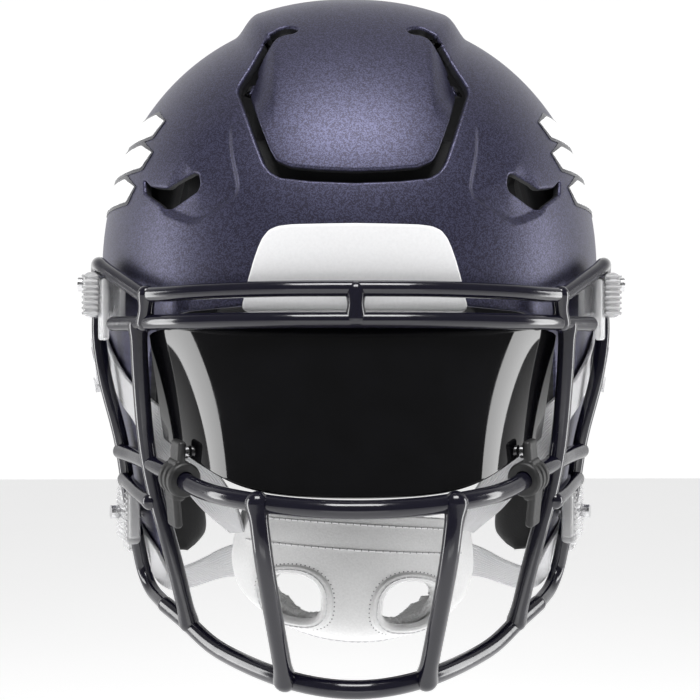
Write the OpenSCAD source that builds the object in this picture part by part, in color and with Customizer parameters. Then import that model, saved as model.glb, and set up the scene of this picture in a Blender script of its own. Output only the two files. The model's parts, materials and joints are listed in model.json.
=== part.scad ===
// American football helmet: moulded shell with a cantilevered flex panel,
// welded wire face mask on quick-release clips, clear-view eye shield,
// hard chin cup on a four-point webbing strap, and internal padding.
// Frame: wearer faces -Y, +X is the wearer's left, +Z is up, origin at the
// centre of the head cavity on the ear-hole line.

/* [Shell] */
// Half width of the outer shell at the brow line
shell_a = 117.6; // [116:0.2:119]
// Reach of the shell forward of its centre
shell_front = 150; // [149:0.5:152]
// Reach of the shell behind its centre
shell_back = 138; // [135:1:142]
// Height of the crown above the ear-hole line, without the raised ridge
crown_z = 159.5; // [158:0.5:161]
// Wall thickness of the moulded shell
wall = 4; // [3.5:0.1:4.2]
// Height of the raised crown ridge
ridge_h = 6.4; // [5:0.2:7]
// Radius of the ear holes
ear_r = 17; // [14:0.5:18]

/* [Face mask] */
// Wire diameter of the brow bars, loops and outer bars
wire_thin = 6.2; // [6:0.1:6.4]
// Wire diameter of the mouth bar, chin bar, side bars and chin posts
wire_thick = 7; // [6.8:0.1:7.1]
// Thickness of the eye shield
shield_t = 2.4; // [2:0.1:2.5]

/* [Padding] */
// Thickness of the soft liner pads
pad_t = 20; // [16:1:21]
// Thickness of the jaw pads
jaw_t = 23; // [20:1:24]

/* [Straps] */
// Thickness of the strap webbing
web_t = 1.2; // [1:0.1:1.3]
// Width of the strap webbing
web_w = 16; // [14:0.5:17]

/* [Hidden] */

eq_z = 35;        // height of the widest line
y0 = 8;           // centre of the shell fore and aft
ev = 2.1;         // vertical roundness exponent
eh = 2.2;         // horizontal roundness exponent
drop = 125;       // millimetres of drop for one unit of w below the widest line
C0 = [0, 0, -20]; // point that every face-mask wire bends around

// ---------- shell surface ----------
// th: azimuth, 0 at the brow, +90 at the wearer's left ear, 180 at the back
// w: 0 at the crown, 1 at the widest line, more than 1 below it
function sg(x) = x < 0 ? -1 : 1;
function cl(x, a, b) = x < a ? a : x > b ? b : x;
function ss(x) = let (t = cl(x, 0, 1)) t * t * (3 - 2 * t);
function base(th, w) = let (
    phi = 90 * (1 - cl(w, 0, 1)), q = max(w - 1, 0),
    rho = w > 1 ? 1 : pow(cos(phi), 2 / ev),
    z = w > 1 ? eq_z - drop * q : eq_z + (crown_z - eq_z) * pow(sin(phi), 2 / ev),
    ax = shell_a * (1 - 0.17 * pow(q, 1.6)),
    bf = shell_front - 17 * pow(q, 1.5), bb = shell_back - 24 * pow(q, 1.8),
    c = cos(th), s = sin(th),
    r = pow(pow(abs(c), eh) + pow(abs(s), eh), -1 / eh))
  [ax * rho * r * s, y0 - (c > 0 ? bf : bb) * rho * r * c, z];
function unit(v) = v / norm(v);
function nrm(th, w) = w < 0.02 ? [0, 0, 1] :
  unit(cross(base(th + 0.5, w) - base(th - 0.5, w), base(th, w - 0.01) - base(th, w + 0.01)));
// raised ridge along the crown
function ridge(p) = ridge_h * ss((53 - abs(p[0])) / 13) * ss((p[1] + 100) / 38) * ss((p[2] - 60) / 40);
function S(th, w, off = 0) = let (p = base(th, w)) p + nrm(th, w) * (ridge(p) - off);
// w of a height
function wz(z) = z <= eq_z ? 1 + (eq_z - z) / drop
  : 1 - asin(pow((z - eq_z) / (crown_z - eq_z), ev / 2)) / 90;
function SZ(th, z, off = 0) = S(th, wz(z), off);
// [th, w] of the front surface point with given x and z
function thxz(x, z) = let (w = wz(z), p = base(90, w), k = cl(abs(x) / p[0], 0, 0.999),
    c = pow(1 - pow(k, eh), 1 / eh)) sg(x) * atan2(k, c);
function XZ(x, z, off = 0) = S(thxz(x, z), wz(z), off);
// surface point above a given x and y
function XY(x, y, off = 0) = let (b = y < y0 ? shell_front : shell_back,
    u = x / shell_a, v = (y0 - y) / b,
    rho = pow(pow(abs(u), eh) + pow(abs(v), eh), 1 / eh),
    w = 1 - acos(cl(pow(rho, ev / 2), 0, 1)) / 90) S(atan2(u, v), max(w, 0.021), off);
// trimmed lower edge of the shell, height against azimuth
EDGE = [[0, 17], [20, 17], [35, 15], [42, 10], [45, 2], [48, -20], [51, -50], [54, -80], [57, -93],
  [62, -99], [70, -100], [80, -97], [95, -86], [110, -74], [130, -64], [150, -60], [180, -58]];
function edge(th) = lookup(abs(th) > 180 ? 360 - abs(th) : abs(th), EDGE);

// ---------- solids from grids ----------
// closed slab between grid A (outside) and grid B (inside), rows of nu + 1 points
module slab(A, B, nu, nv) {
  n = (nu + 1) * (nv + 1);
  id = function(i, j) j * (nu + 1) + i;
  polyhedron(points = concat(A, B), convexity = 6, faces = concat(
    [for (j = [0:nv - 1]) for (i = [0:nu - 1]) each
      [[id(i, j), id(i + 1, j), id(i + 1, j + 1)], [id(i, j), id(i + 1, j + 1), id(i, j + 1)],
       [n + id(i, j), n + id(i + 1, j + 1), n + id(i + 1, j)], [n + id(i, j), n + id(i, j + 1), n + id(i + 1, j + 1)]]],
    [for (i = [0:nu - 1]) each
      [[id(i + 1, 0), id(i, 0), n + id(i, 0)], [id(i + 1, 0), n + id(i, 0), n + id(i + 1, 0)],
       [id(i, nv), id(i + 1, nv), n + id(i + 1, nv)], [id(i, nv), n + id(i + 1, nv), n + id(i, nv)]]],
    [for (j = [0:nv - 1]) each
      [[id(0, j), id(0, j + 1), n + id(0, j + 1)], [id(0, j), n + id(0, j + 1), n + id(0, j)],
       [id(nu, j + 1), id(nu, j), n + id(nu, j)], [id(nu, j + 1), n + id(nu, j), n + id(nu, j + 1)]]]));
}
// slab on the shell between two azimuths and two heights, from offset o1 (outer) to o2 (inner)
module patch(t0, t1, z0, z1, o1, o2, nu = 8, nv = 6) {
  A = [for (j = [0:nv]) for (i = [0:nu]) S(t0 + (t1 - t0) * i / nu, wz(z1) + (wz(z0) - wz(z1)) * j / nv, o1)];
  B = [for (j = [0:nv]) for (i = [0:nu]) S(t0 + (t1 - t0) * i / nu, wz(z1) + (wz(z0) - wz(z1)) * j / nv, o2)];
  slab(A, B, nu, nv);
}
// slab on the front of the shell whose half width follows a table against height
module front_patch(T, z0, z1, o1, o2, nu = 10, nv = 8) {
  A = [for (j = [0:nv]) let (z = z1 + (z0 - z1) * j / nv) for (i = [0:nu]) XZ(lookup(z, T) * (2 * i / nu - 1), z, o1)];
  B = [for (j = [0:nv]) let (z = z1 + (z0 - z1) * j / nv) for (i = [0:nu]) XZ(lookup(z, T) * (2 * i / nu - 1), z, o2)];
  slab(A, B, nu, nv);
}

// ---------- swept wires and straps ----------
function cr(p, i, t) = let (n = len(p), a = p[max(i - 1, 0)], b = p[i], c = p[min(i + 1, n - 1)], d = p[min(i + 2, n - 1)])
  0.5 * (2 * b + (c - a) * t + (2 * a - 5 * b + 4 * c - d) * t * t + (3 * b - a - 3 * c + d) * t * t * t);
function smooth(p, k) = concat([for (i = [0:len(p) - 2]) for (j = [0:k - 1]) cr(p, i, j / k)], [p[len(p) - 1]]);
function tang(p, i) = unit(p[min(i + 1, len(p) - 1)] - p[max(i - 1, 0)]);
// closed tube from rings of m points each
module loft(R, m) {
  k = len(R);
  polyhedron(points = [for (r = R) each r], convexity = 6, faces = concat(
    [[for (i = [0:m - 1]) i]], [[for (i = [0:m - 1]) k * m - 1 - i]],
    [for (j = [0:k - 2]) for (i = [0:m - 1]) let (a = j * m + i, b = j * m + (i + 1) % m)
      each [[a, b + m, b], [a, a + m, b + m]]]));
}
// round wire along a route, m sides, k rings for each span
module wire(route, d, k = 3, m = 10) {
  p = smooth(route, k);
  loft([for (i = [0:len(p) - 1]) let (t = tang(p, i), v = p[i] - C0, n = unit(v - (v * t) * t), b = cross(t, n))
    [for (j = [0:m - 1]) p[i] + (cos(360 * j / m) * n + sin(360 * j / m) * b) * d / 2 / cos(180 / m)]], m);
}
// flat band along a route of [point, outward direction]
module band(route, wd, th, k = 3) {
  p = smooth([for (r = route) r[0]], k);
  q = smooth([for (r = route) r[1]], k);
  loft([for (i = [0:len(p) - 1]) let (t = tang(p, i), n = unit(q[i] - (q[i] * t) * t), b = cross(t, n))
    [p[i] + n * th / 2 + b * wd / 2, p[i] - n * th / 2 + b * wd / 2,
     p[i] - n * th / 2 - b * wd / 2, p[i] + n * th / 2 - b * wd / 2]], 4);
}
// mirrored route across the middle plane, for wires that run from side to side
function mir(p) = concat([for (i = [len(p) - 1:-1:1]) [-p[i][0], p[i][1], p[i][2]]], p);
module both() { children(); mirror([1, 0, 0]) children(); }
// local frame on the shell: x along the surface to the rear, y up, z outward
module on_shell(th, z, off = 0, roll = 0) {
  w = wz(z); n = nrm(th, w); p = SZ(th, z, off);
  u0 = [0, 0, 1]; x = unit(cross(u0, n)); y = cross(n, x);
  multmatrix([[x[0], y[0], n[0], p[0]], [x[1], y[1], n[1], p[1]], [x[2], y[2], n[2], p[2]], [0, 0, 0, 1]])
    rotate([0, 0, roll]) children();
}
// plate with rounded corners, centred in x and y
module round_plate(x, y, z, r) {
  translate([-x / 2 + r, -y / 2, 0]) cube([x - 2 * r, y, z]);
  translate([-x / 2, -y / 2 + r, 0]) cube([x, y - 2 * r, z]);
  for (i = [-1, 1]) for (j = [-1, 1]) translate([i * (x / 2 - r), j * (y / 2 - r), 0]) cylinder(r = r, h = z, $fn = 32);
}

// ---------- colours ----------
c_shell = [0.22, 0.21, 0.34];
c_dark = [0.09, 0.08, 0.13];
c_white = [0.93, 0.93, 0.94];
c_black = [0.06, 0.06, 0.07];
c_clear = [0.80, 0.83, 0.86];
c_metal = [0.72, 0.73, 0.75];

// ---------- shell ----------
TH = concat([for (t = [0:6:36]) t], [40, 43, 45.5, 48, 50, 52, 54, 56, 58, 61], [for (t = [66:6:180]) t]);
AZ = concat([for (i = [len(TH) - 1:-1:1]) -TH[i]], [for (i = [0:len(TH) - 2]) TH[i]]);
WR = [0.08, 0.17, 0.26, 0.35, 0.44, 0.53, 0.62, 0.71, 0.8, 0.87, 0.94, 1];
// one ring of shell points
function ring(j, off) = [for (t = AZ) j < len(WR) ? S(t, WR[j], off)
  : S(t, 1 + (wz(edge(t)) - 1) * (j - len(WR) + 1) / 4, off)];
module shell_blank() {
  na = len(AZ); nr = len(WR) + 4;
  P = concat([S(0, 0, 0)], [for (j = [0:nr - 1]) each ring(j, 0)],
             [S(0, 0, wall)], [for (j = [0:nr - 1]) each ring(j, wall)]);
  m = 1 + na * nr;
  id = function(i, j) 1 + j * na + i % na;
  polyhedron(points = P, convexity = 8, faces = concat(
    [for (i = [0:na - 1]) [0, id(i + 1, 0), id(i, 0)]],
    [for (i = [0:na - 1]) [m, m + id(i, 0), m + id(i + 1, 0)]],
    [for (j = [0:nr - 2]) for (i = [0:na - 1]) each
      [[id(i, j), id(i + 1, j), id(i + 1, j + 1)], [id(i, j), id(i + 1, j + 1), id(i, j + 1)],
       [m + id(i, j), m + id(i + 1, j + 1), m + id(i + 1, j)], [m + id(i, j), m + id(i, j + 1), m + id(i + 1, j + 1)]]],
    [for (i = [0:na - 1]) each
      [[id(i, nr - 1), id(i + 1, nr - 1), m + id(i + 1, nr - 1)], [id(i, nr - 1), m + id(i + 1, nr - 1), m + id(i, nr - 1)]]]));
}
// outline of the opening round the flex panel, x against z, right half from the root down
SLOT = [[25, 135.4], [25, 138], [30, 137.5], [34.5, 134.5], [38, 125], [42.5, 115], [46.8, 105.5], [46.5, 101],
  [43, 95.5], [38, 82], [34.6, 71], [31.8, 67.4], [25.8, 65], [13.5, 63.7]];
// half width of the flex panel against height
PANEL = [[69.4, 24], [72, 29.5], [76, 31.8], [88, 36.4], [101, 42.5], [105, 43], [120, 36.4], [129.6, 31.5], [130.8, 25], [133.4, 25]];
module slot_cut() {
  pts = concat(SLOT, [for (i = [len(SLOT) - 1:-1:0]) [-SLOT[i][0], SLOT[i][1]]]);
  translate([0, -40, 0]) rotate([90, 0, 0]) linear_extrude(120) polygon(pts);
}
// slot through the shell between two surface points
module vent(a, b, r) {
  hull() {
    on_shell(a[0], a[1]) translate([0, 0, -14]) cylinder(r = r, h = 24, $fn = 16);
    on_shell(b[0], b[1]) translate([0, 0, -14]) cylinder(r = r, h = 24, $fn = 16);
  }
}
rear_screw_x = 14; // rear bumper screws either side of the middle
rear_screw_z = -46;
crown_valve_y = 30;
rear_valve_z = 25;
module shell() color(c_shell) difference() {
  shell_blank();
  slot_cut();
  // brow vents
  for (s = [-1, 1]) {
    vent([s * thxz(67, 69.5), 69.5], [s * thxz(76, 64.5), 64.5], 2.2);
    vent([s * thxz(76, 64.5), 64.5], [s * thxz(85, 67.5), 67.5], 1.8);
    // upper side vents
    vent([s * 100, 112], [s * 122, 106], 3.2);
    // lower rear vents
    vent([s * 146, 62], [s * 158, 58], 3.4);
    vent([s * 128, 2], [s * 138, -12], 3);
  }
  // ear holes
  translate([-140, 4, -8]) rotate([0, 90, 0]) cylinder(r = ear_r, h = 280, $fn = 40);
  // ports of the air valves
  translate([0, crown_valve_y, 140]) cylinder(r = 5.2, h = 40, $fn = 24);
  translate([0, 120, rear_valve_z]) rotate([-90, 0, 0]) cylinder(r = 5.2, h = 40, $fn = 24);
  // rear bumper screws
  for (s = [-1, 1]) translate([s * rear_screw_x, 100, rear_screw_z]) rotate([-90, 0, 0]) cylinder(r = 2.3, h = 60, $fn = 20);
}
module flex_panel() color(c_shell) front_patch(PANEL, 69.4, 133.4, 0, wall, 10, 14);

// ---------- bumpers and decals ----------
BUMPER = [[15.5, 43], [19.5, 42], [27, 40.4], [34, 38.4], [41, 36], [44, 34], [46, 30.5], [46.8, 27]];
module front_bumper() color(c_white) front_patch(BUMPER, 15.5, 46.8, -2.7, -0.25, 12, 8);
module rear_bumper() color(c_black) difference() {
  patch(160, 200, -57, -33, -3.2, -0.25, 8, 4);
  for (s = [-1, 1]) translate([s * rear_screw_x, 100, rear_screw_z]) rotate([-90, 0, 0]) cylinder(r = 2.3, h = 60, $fn = 20);
}
rear_face = SZ(180, rear_screw_z, -3.2)[1];
module rear_bumper_screws() color(c_metal) for (s = [-1, 1]) translate([s * rear_screw_x, rear_face, rear_screw_z]) {
  translate([0, -0.6, 0]) rotate([-90, 0, 0]) difference() { cylinder(r = 4, h = 2, $fn = 32); translate([0, 0, 1]) cylinder(r = 1.4, h = 2, $fn = 6); }
  translate([0, -12, 0]) rotate([-90, 0, 0]) cylinder(r = 2, h = 11.8, $fn = 32);
}
// three parallel slanted stripes on the side of the crown
module stripe(z0, z1, lead, t0, t1) {
  nu = 6; nv = 3;
  tt = function(u, v) t0 + (t1 - t0) * u - lead * (v - 0.5) * 2;
  A = [for (j = [0:nv]) for (i = [0:nu]) SZ(tt(i / nu, j / nv), z1 + (z0 - z1) * j / nv, -0.6)];
  B = [for (j = [0:nv]) for (i = [0:nu]) SZ(tt(i / nu, j / nv), z1 + (z0 - z1) * j / nv, -0.2)];
  slab(A, B, nu, nv);
}
module decal() { stripe(91, 102, 2.5, 42, 64); stripe(77, 88, 2.5, 42, 70); stripe(63, 74, 2.5, 47, 76); }
module decal_left() color(c_white) decal();
module decal_right() color(c_white) mirror([1, 0, 0]) decal();

// ---------- padding ----------
c_pad = [0.10, 0.10, 0.11];
module front_pad() color(c_pad) patch(-34, 34, 24, 92, 10.5, 10.5 + pad_t * 0.6, 8, 6);
module crown_pad() color(c_pad) {
  nu = 8; nv = 8;
  A = [for (j = [0:nv]) for (i = [0:nu]) XY(-46 + 92 * i / nu, -44 + 100 * j / nv, wall + 5.6)];
  B = [for (j = [0:nv]) for (i = [0:nu]) XY(-46 + 92 * i / nu, -44 + 100 * j / nv, wall + 5.6 + pad_t * 0.8)];
  slab(B, A, nu, nv);
}
module side_pad() patch(48, 128, 22, 100, wall + 0.7, wall + 0.7 + pad_t, 9, 6);
module side_pad_left() color(c_pad) side_pad();
module side_pad_right() color(c_pad) mirror([1, 0, 0]) side_pad();
module back_pad() color(c_pad) patch(136, 224, 20, 104, wall + 5, wall + pad_t, 10, 6);
module neck_pad() color(c_pad) patch(148, 212, -54, 12, wall + 8, wall + 0.7 + pad_t, 9, 5);
module jaw_pad() patch(58, 84, -92, -32, wall + 0.7, wall + 0.7 + jaw_t, 6, 6);
module jaw_pad_left() color(c_pad) jaw_pad();
module jaw_pad_right() color(c_pad) mirror([1, 0, 0]) jaw_pad();

// ---------- air valves ----------
crown_top = XY(0, crown_valve_y, 0)[2];
rear_out = SZ(180, rear_valve_z, 0)[1];
module valve() difference() {
  union() { translate([0, 0, -7]) cylinder(r = 5, h = 7.6, $fn = 32); }
  translate([0, 0, -5]) cylinder(r = 1.3, h = 8, $fn = 24);
}
module crown_air_valve() color(c_black) translate([0, crown_valve_y, crown_top]) valve();
module rear_air_valve() color(c_black) translate([0, rear_out, rear_valve_z]) rotate([-90, 0, 0]) valve();

// ---------- quick-release clips ----------
piv_y = -80;   // swing axis of the face mask
piv_z = 28;
boss_r = 7;
pin_r = 3;
pin_fit = 0.05;
module upper_clip() {
  difference() {
    union() {
      // base plate lying along the shell
      translate([100.4, -79, 20]) rotate([0, 90, -23]) translate([0, -3, 0.6]) round_plate(29, 18, 2.6, 5);
      translate([100.8, piv_y, piv_z]) rotate([0, 90, 0]) cylinder(r = boss_r, h = 12.8, $fn = 48);
      // cap that holds the wire loop on its boss
      translate([113.5, piv_y, piv_z]) rotate([0, 90, 0]) cylinder(r = 12.5, h = 1.5, $fn = 48);
    }
    translate([102.2, piv_y, piv_z]) rotate([0, 90, 0]) cylinder(r = pin_r + pin_fit, h = 20, $fn = 48);
  }
}
module upper_clip_left() color(c_clear) upper_clip();
module upper_clip_right() color(c_clear) mirror([1, 0, 0]) upper_clip();
module upper_pin() translate([105.4, piv_y, piv_z]) rotate([0, 90, 0]) cylinder(r = pin_r, h = 11.2, $fn = 48);
module upper_push_pin_left() color(c_metal) upper_pin();
module upper_push_pin_right() color(c_metal) mirror([1, 0, 0]) upper_pin();

// local frame of the lower clip on the jaw flap: x outward, y to the rear
module at_lower() translate([92.4, -57, -72]) rotate([0, 0, -20]) children();
module lower_clip() at_lower() difference() {
  translate([3.3, 1, 0]) rotate([0, 90, 0]) round_plate(26, 22, 7.5, 4);
  // channel for the shell stud, open to the rear
  translate([2, 1, -4.6]) cube([3.6, 14, 10.4]);
  translate([5, 6, 0]) rotate([0, 90, 0]) cylinder(r = pin_r + pin_fit, h = 10, $fn = 48);
}
module lower_clip_left() color(c_clear) lower_clip();
module lower_clip_right() color(c_clear) mirror([1, 0, 0]) lower_clip();
module lower_pin() at_lower() translate([7.4, 6, 0]) rotate([0, 90, 0]) cylinder(r = pin_r, h = 5.8, $fn = 48);
module lower_push_pin_left() color(c_metal) lower_pin();
module lower_push_pin_right() color(c_metal) mirror([1, 0, 0]) lower_pin();
module lower_clip_studs() color(c_metal) both() at_lower() translate([-1.5, 6, 0]) rotate([0, 90, 0]) cylinder(r = 3.5, h = 6.5, $fn = 40);

// ---------- face-mask wires ----------
c_wire = c_dark;
BROW_U = [[0, -152, 23], [31, -148, 23], [60, -135.5, 22.5], [75, -125, 22], [84, -116.5, 22]];
BROW_L = [[0, -154, 11.2], [31, -150, 11.2], [60, -137.5, 11], [76, -124, 11], [88, -109.5, 10.8], [99, -97, 10.8]];
MOUTH = [[0, -178, -56.7], [24, -172, -56.3], [46, -158, -54.6], [59, -142, -53], [72, -122, -49], [83, -103, -46.4], [92, -84, -45], [100.5, -68, -44]];
CHIN = [[0, -160, -125], [26, -148, -124], [53, -118, -120], [69, -97, -112.5], [79, -84, -108]];
OUTER = [[84, -116.5, 22], [94, -103, 28], [103, -91, 36], [107, -84, 39], [109.2, -75, 38], [110, -68.5, 30], [110, -67, 18],
  [110, -68, 6], [107, -69, -13], [100.5, -68, -39], [97, -64, -66], [93.6, -60, -88], [91.6, -58.5, -98], [87, -66, -105], [79, -84, -108]];
SIDE = [[87.2, -109, 10], [86.6, -107, -10], [84.7, -104, -37], [81, -103, -58], [74.5, -103, -82], [67.5, -101, -112]];
POST = [[36, -168, -55.5], [33, -167, -80], [26.5, -151, -123.5]];
LINK = [[83, -103, -62], [90, -88, -60], [98.5, -67, -56.5]];
module upper_brow_bar() color(c_wire) wire(mir(BROW_U), wire_thin, 3, 10);
module lower_brow_bar() color(c_wire) wire(mir(BROW_L), wire_thin, 3, 10);
module mouth_bar() color(c_wire) wire(mir(MOUTH), wire_thick, 2, 10);
module chin_bar() color(c_wire) wire(mir(CHIN), wire_thick, 3, 10);
module brow_post() color(c_wire) wire([[0, -152, 23], [0, -153, 17], [0, -154, 11.2]], wire_thin, 1, 12);
module brow_end_posts() color(c_wire) both() wire([[82.5, -118.3, 22], [83, -116.6, 16], [83.5, -115.2, 11]], wire_thin, 1, 10);
module outer_bar_left() color(c_wire) wire(OUTER, wire_thin, 3, 10);
module outer_bar_right() color(c_wire) mirror([1, 0, 0]) wire(OUTER, wire_thin, 3, 10);
module side_bar_left() color(c_wire) wire(SIDE, wire_thick, 3, 10);
module side_bar_right() color(c_wire) mirror([1, 0, 0]) wire(SIDE, wire_thick, 3, 10);
module chin_post_left() color(c_wire) wire(POST, wire_thick, 3, 10);
module chin_post_right() color(c_wire) mirror([1, 0, 0]) wire(POST, wire_thick, 3, 10);
module lower_link_left() color(c_wire) wire(LINK, wire_thin, 2, 10);
module lower_link_right() color(c_wire) mirror([1, 0, 0]) wire(LINK, wire_thin, 2, 10);

// ---------- eye shield ----------
SH_TOP = [[0, -147.4, 13], [31, -143.3, 12.6], [58, -130.2, 11.4], [72, -117.5, 9], [82, -106, 6]];
SH_BOT = [[0, -172, -52.5], [30, -164.5, -52], [47, -150.5, -50], [53, -141, -42], [64, -124, -39.5], [77, -99, -36]];
SH_T = smooth(mir(SH_TOP), 6);
SH_B = smooth(mir(SH_BOT), 5);
function pick(L, u) = let (x = u * (len(L) - 1), i = min(floor(x), len(L) - 2)) L[i] + (L[i + 1] - L[i]) * (x - i);
function shv(u, v) = let (a = pick(SH_T, u), b = pick(SH_B, u)) a + (b - a) * v;
function shn(u, v) = let (e = 0.01, du = shv(min(u + e, 1), v) - shv(max(u - e, 0), v), dv = shv(u, min(v + e, 1)) - shv(u, max(v - e, 0))) unit(cross(dv, du));
module eye_shield() color(c_black) {
  nu = 24; nv = 6;
  A = [for (j = [0:nv]) for (i = [0:nu]) shv(i / nu, j / nv) + shn(i / nu, j / nv) * shield_t / 2];
  B = [for (j = [0:nv]) for (i = [0:nu]) shv(i / nu, j / nv) - shn(i / nu, j / nv) * shield_t / 2];
  slab(A, B, nu, nv);
}
// ring on the mouth bar with a tongue that the shield is screwed to
RING_AT = [68.5, -127.6, -50];
RING_DIR = unit([0.52, 0.84, 0.15]);
module along(p, d) { x = unit(cross([0, 0, 1], d)); y = cross(d, x);
  multmatrix([[x[0], y[0], d[0], p[0]], [x[1], y[1], d[1], p[1]], [x[2], y[2], d[2], p[2]], [0, 0, 0, 1]]) children(); }
module shield_clip() along(RING_AT, RING_DIR) {
  difference() { translate([0, 0, -5]) cylinder(r = 6.4, h = 10, $fn = 32); translate([0, 0, -6]) cylinder(r = 3.75, h = 12, $fn = 32); }
  translate([-3, 5.6, -4]) cube([3.4, 8.4, 8]);
}
module shield_clip_left() color(c_black) shield_clip();
module shield_clip_right() color(c_black) mirror([1, 0, 0]) shield_clip();
module shield_screws() color(c_metal) both() along(RING_AT, RING_DIR) translate([0.7, 10.2, 0]) rotate([0, 90, 0]) cylinder(r = 2.6, h = 1.6, $fn = 32);

// ---------- chin cup ----------
CUP = [[0, -66, 0], [0.25, -76, 2.4], [0.5, -90, 3], [0.75, -104, -0.5], [0.9, -112, -7], [1, -115.5, -16]];
function cup_z(v) = lookup(v, [for (c = CUP) [c[0], c[1]]]);
function cup_d(v) = lookup(v, [for (c = CUP) [c[0], c[2]]]);
function cup(u, v, off) = let (ang = 72 * u, r = 46 + cup_d(v) - off, rise = 4 * abs(u * u) * (1 - v))
  [r * sin(ang) * 1.1, -68 - r * cos(ang) * 1.03, cup_z(v) + off * max(0, v - 0.6) * 1.6 + 16 * u * u * max(0, v - 0.35) - rise];
module cup_slab(o1, o2) {
  nu = 18; nv = 8;
  A = [for (j = [0:nv]) for (i = [0:nu]) cup(2 * i / nu - 1, j / nv, o1)];
  B = [for (j = [0:nv]) for (i = [0:nu]) cup(2 * i / nu - 1, j / nv, o2)];
  slab(A, B, nu, nv);
}
module cup_holes(r) for (s = [-1, 1]) hull() {
  translate([s * 22, -60, -96]) rotate([90, 0, s * 22]) cylinder(r = r, h = 90, $fn = 28);
  translate([s * 27, -60, -94]) rotate([90, 0, s * 22]) cylinder(r = r, h = 90, $fn = 28);
}
module chin_cup() color(c_white) difference() { cup_slab(0, 2.6); cup_holes(9); }
module chin_cup_liner() color([0.85, 0.85, 0.87]) difference() { cup_slab(3, 7.5); cup_holes(8); }

// ---------- straps ----------
function on(th, z, off) = [SZ(th, z, -off), nrm(th, wz(z))];
UP = [[[48.6, -85.2, -77], [0.9, -0.4, 0.1]], [[57, -87, -64], [0.6, -0.7, 0.4]], [[69, -90, -48], [0.4, -0.85, 0.3]], [[79, -93.2, -35], [0.3, -0.93, 0.2]],
  [[86.4, -92, -27.5], [0.66, -0.75, 0]], on(52.5, -22, 1.4), on(58, -16, 1.05), on(66, -5, 1.05), on(74, 6, 1.05), on(82, 16, 1.05), on(88, 22, 1.05)];
LO = [[[48.4, -84.4, -89], [0.9, -0.4, -0.2]], [[58, -76, -93], [0.5, -0.5, -0.7]], [[72, -71.5, -98.5], [0.35, -0.6, -0.75]], [[80.5, -69, -99.5], [0.6, -0.6, -0.6]],
  [[85.4, -67.8, -92.5], [0.82, -0.5, -0.15]], on(61.5, -87, 1.3), on(69, -83, 1.05), on(80, -77, 1.05), on(91, -70, 1.05), on(101, -63, 1.05), on(109, -58, 1.05)];
module upper_strap_left() color(c_white) band(UP, web_w, web_t, 3);
module upper_strap_right() color(c_white) mirror([1, 0, 0]) band(UP, web_w, web_t, 3);
module lower_strap_left() color(c_white) band(LO, web_w - 2, web_t, 3);
module lower_strap_right() color(c_white) mirror([1, 0, 0]) band(LO, web_w - 2, web_t, 3);
// snap studs on the shell and the snap caps on the strap ends
snap_u = [84.5, 19];
snap_l = [105, -60];
module strap_studs() color(c_metal) both() for (s = [snap_u, snap_l]) on_shell(s[0], s[1]) translate([0, 0, -1.2]) cylinder(r = 3.4, h = 3.6, $fn = 32);
module strap_snaps() color(c_black) both() for (s = [snap_u, snap_l]) on_shell(s[0], s[1]) difference() {
  translate([0, 0, 0.5]) cylinder(r = 8, h = 3.4, $fn = 40);
  translate([0, 0, -0.1]) cylinder(r = 3.45, h = 2.9, $fn = 32);
}
// cam buckles: a frame with two cheeks and a lever on a cross pin
buck_u = [69, -6, 39];
buck_l = [80, -77, 17];
module buckle() {
  translate([0, 0, 1.95]) difference() { round_plate(20, 21, 1.4, 2.5); translate([-3, -6, -1]) cube([6, 12, 4]); }
  for (s = [-1, 1]) translate([-7, s * 9 - 1, 1.95]) difference() { cube([8, 2, 6.4]); translate([4, -1, 4]) rotate([-90, 0, 0]) cylinder(r = 1.05, h = 4, $fn = 24); }
}
// lever pivots about y at (-3, 0, 5.95)
module lever() {
  translate([-3, 0, 5.95]) rotate([90, 0, 0]) translate([0, 0, -10]) cylinder(r = 1, h = 20, $fn = 32);
  translate([-4.6, -7.6, 4.35]) cube([14.6, 15.2, 3.2]);
}
module upper_buckle_left() color(c_black) on_shell(buck_u[0], buck_u[1], 0, buck_u[2]) buckle();
module upper_buckle_right() color(c_black) mirror([1, 0, 0]) on_shell(buck_u[0], buck_u[1], 0, buck_u[2]) buckle();
module lower_buckle_left() color(c_black) on_shell(buck_l[0], buck_l[1], 0, buck_l[2]) buckle();
module lower_buckle_right() color(c_black) mirror([1, 0, 0]) on_shell(buck_l[0], buck_l[1], 0, buck_l[2]) buckle();
module upper_cam_lever_left() color(c_black) on_shell(buck_u[0], buck_u[1], 0, buck_u[2]) lever();
module upper_cam_lever_right() color(c_black) mirror([1, 0, 0]) on_shell(buck_u[0], buck_u[1], 0, buck_u[2]) lever();
module lower_cam_lever_left() color(c_black) on_shell(buck_l[0], buck_l[1], 0, buck_l[2]) lever();
module lower_cam_lever_right() color(c_black) mirror([1, 0, 0]) on_shell(buck_l[0], buck_l[1], 0, buck_l[2]) lever();

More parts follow.
